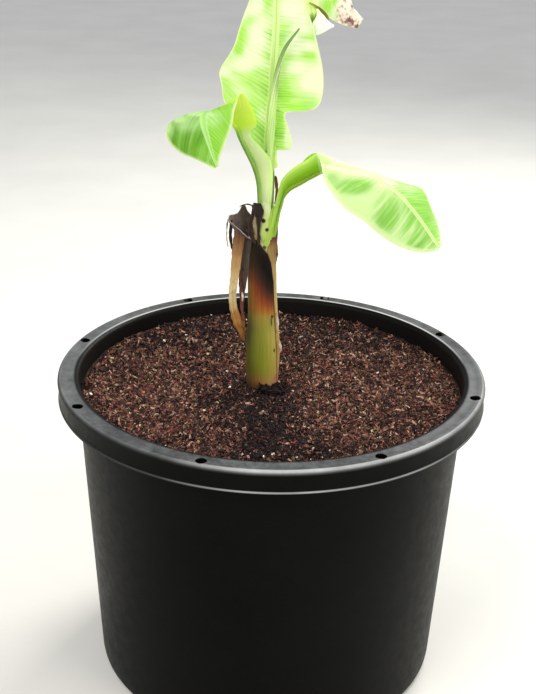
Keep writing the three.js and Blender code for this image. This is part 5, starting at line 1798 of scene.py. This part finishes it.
# %% Torn flaps
FLAP_TONES = {
    # The green flap's darker lower end is painted shade.
    "green_flap": (
        (0.0, "#f0ffb4"), (0.62, "#e8fca8"), (0.74, "#9cba5c"), (0.86, "#62803a"), (1.0, "#587436")),
    # The white flap: partly dry leaf and partly a painted highlight.
    "white_flap": ((0.0, "#f4ffc4"), (0.3, "#fffef0"), (1.0, "#ffffff")),
    "shaded_strip": ((0.0, "#a4ac4c"), (0.4, "#6a6a1c"), (1.0, "#8f8228")),
    "right_stalk_tongue": ((0.0, "#b0c85c"), (0.5, "#b0d64c"), (1.0, "#b0de48")),
    "left_stalk_tongue": ((0.0, "#b8cc68"), (0.5, "#ccdc84"), (1.0, "#ecf6c0")),
    "stalk_strip": ((0.0, "#b8e060"), (0.5, "#d4f47c"), (1.0, "#f0fcb4")),
}
FLAP_STATIONS = {
    "green_flap": [
        ((43, 50, 1048), (56, 52, 1046), (28, 44, 1048), (0, 0)),
        ((42, 48, 1034), (54, 50, 1034), (28, 42, 1034), (1, 1)),
        ((42, 46, 1022), (53, 48, 1022), (30, 41, 1021), (2, 2)),
        ((44, 46, 1012), (52, 47, 1013), (36, 42, 1009), (2, 2)),
        ((46, 46, 1004), (50, 47, 1006), (41, 44, 1001), (1, 1)),
        ((47, 46, 998), (48, 47, 998), (46, 45, 997), (0, 0)),
    ],
    "white_flap": [
        ((51, 42, 1022), (53, 42, 1022), (50, 42, 1021), (0, 0)),
        ((56, 42, 1012), (62, 43, 1012), (51, 42, 1012), (1, 1)),
        ((58, 41, 1003), (70, 44, 1004), (46, 41, 1002), (2, 2)),
        ((61, 41, 997), (76, 44, 999), (47, 41, 996), (2, 2)),
        ((56, 42, 990), (63, 43, 991), (50, 42, 989), (1, 1)),
        ((53, 42, 986), (54, 42, 986), (51, 42, 986), (0, 0)),
    ],
    "shaded_strip": [
        ((40, 42, 1030), (40.6, 42, 1030.8), (39.5, 42, 1029.2), (0, 0)),
        ((50, 43, 1025), (51, 43, 1026.4), (49, 43, 1023.6), (0, 0)),
        ((60, 46, 1017), (62, 46, 1019), (58, 46, 1015), (1, 1)),
        ((66, 50, 1007), (69, 50, 1009), (63, 50, 1005), (1, 1)),
        ((68, 50, 1001), (69, 50, 1001.5), (67, 50, 1000.5), (0, 0)),
    ],
    "right_stalk_tongue": [
        ((-13, -12.6, 690), (-16, -12.9, 693), (-10.5, -12.0, 688), (0, 0)),
        ((-8, -11.6, 705), (-14, -13.0, 706), (-3, -8.9, 703), (0, 0)),
        ((-3, -9.2, 722), (-11, -12.9, 722), (2.5, -3.8, 720), (0, 0)),
        ((0.5, -8, 738), (-8, -13, 738), (6, -2, 736), (0, 0)),
        ((5, -8, 750), (-3, -11, 750), (10, -4, 748), (0, 0)),
        ((9, -8, 758), (4, -12, 758), (12, -6, 757), (0, 0)),
    ],
    "left_stalk_tongue": [
        ((-20, -12.4, 700), (-23, -11.6, 702), (-16, -13.0, 698), (0, 0)),
        ((-18, -12.9, 718), (-25, -10.4, 719), (-11, -12.8, 716), (0, 0)),
        ((-16, -13.2, 736), (-25, -9.8, 737), (-8, -12.4, 734), (0, 0)),
        ((-15, -13.6, 748), (-23, -10.4, 750), (-7, -13, 747), (0, 0)),
        ((-13, -14, 756), (-17, -12, 757), (-9, -13.6, 756), (0, 0)),
    ],
    "stalk_strip": [
        ((-5, 12, 838), (-1, 11, 838), (-8, 12, 838), (0, 0)),
        ((-5, 11, 820), (0, 10, 820), (-9, 11, 820), (1, 1)),
        ((-5, 10, 804), (1, 9, 803), (-10, 10, 802), (1, 1)),
        ((-7, 10, 800), (-3, 10, 801), (-10, 10, 800), (0, 0)),
    ],
}

for number, (name, stations) in enumerate(FLAP_STATIONS.items()):
    tongue = name.endswith("tongue")
    tissue = dry_leaf(f"{name}_tissue", FLAP_TONES[name], "#a8c070", 60 + number, streaks=0.2,
                      rough=(0.45, 0.6), spots=tongue)
    flap = dry_piece(name, stations, tissue, rows=80, columns=31, thickness=0.6,
                     seed=700 + 10 * number, lump_mm=7.0, crumple_mm=0.8, folds_mm=0.2, torn=0.06)
    place_piece(flap, "leaf_stalk" if tongue else "leaf_blade")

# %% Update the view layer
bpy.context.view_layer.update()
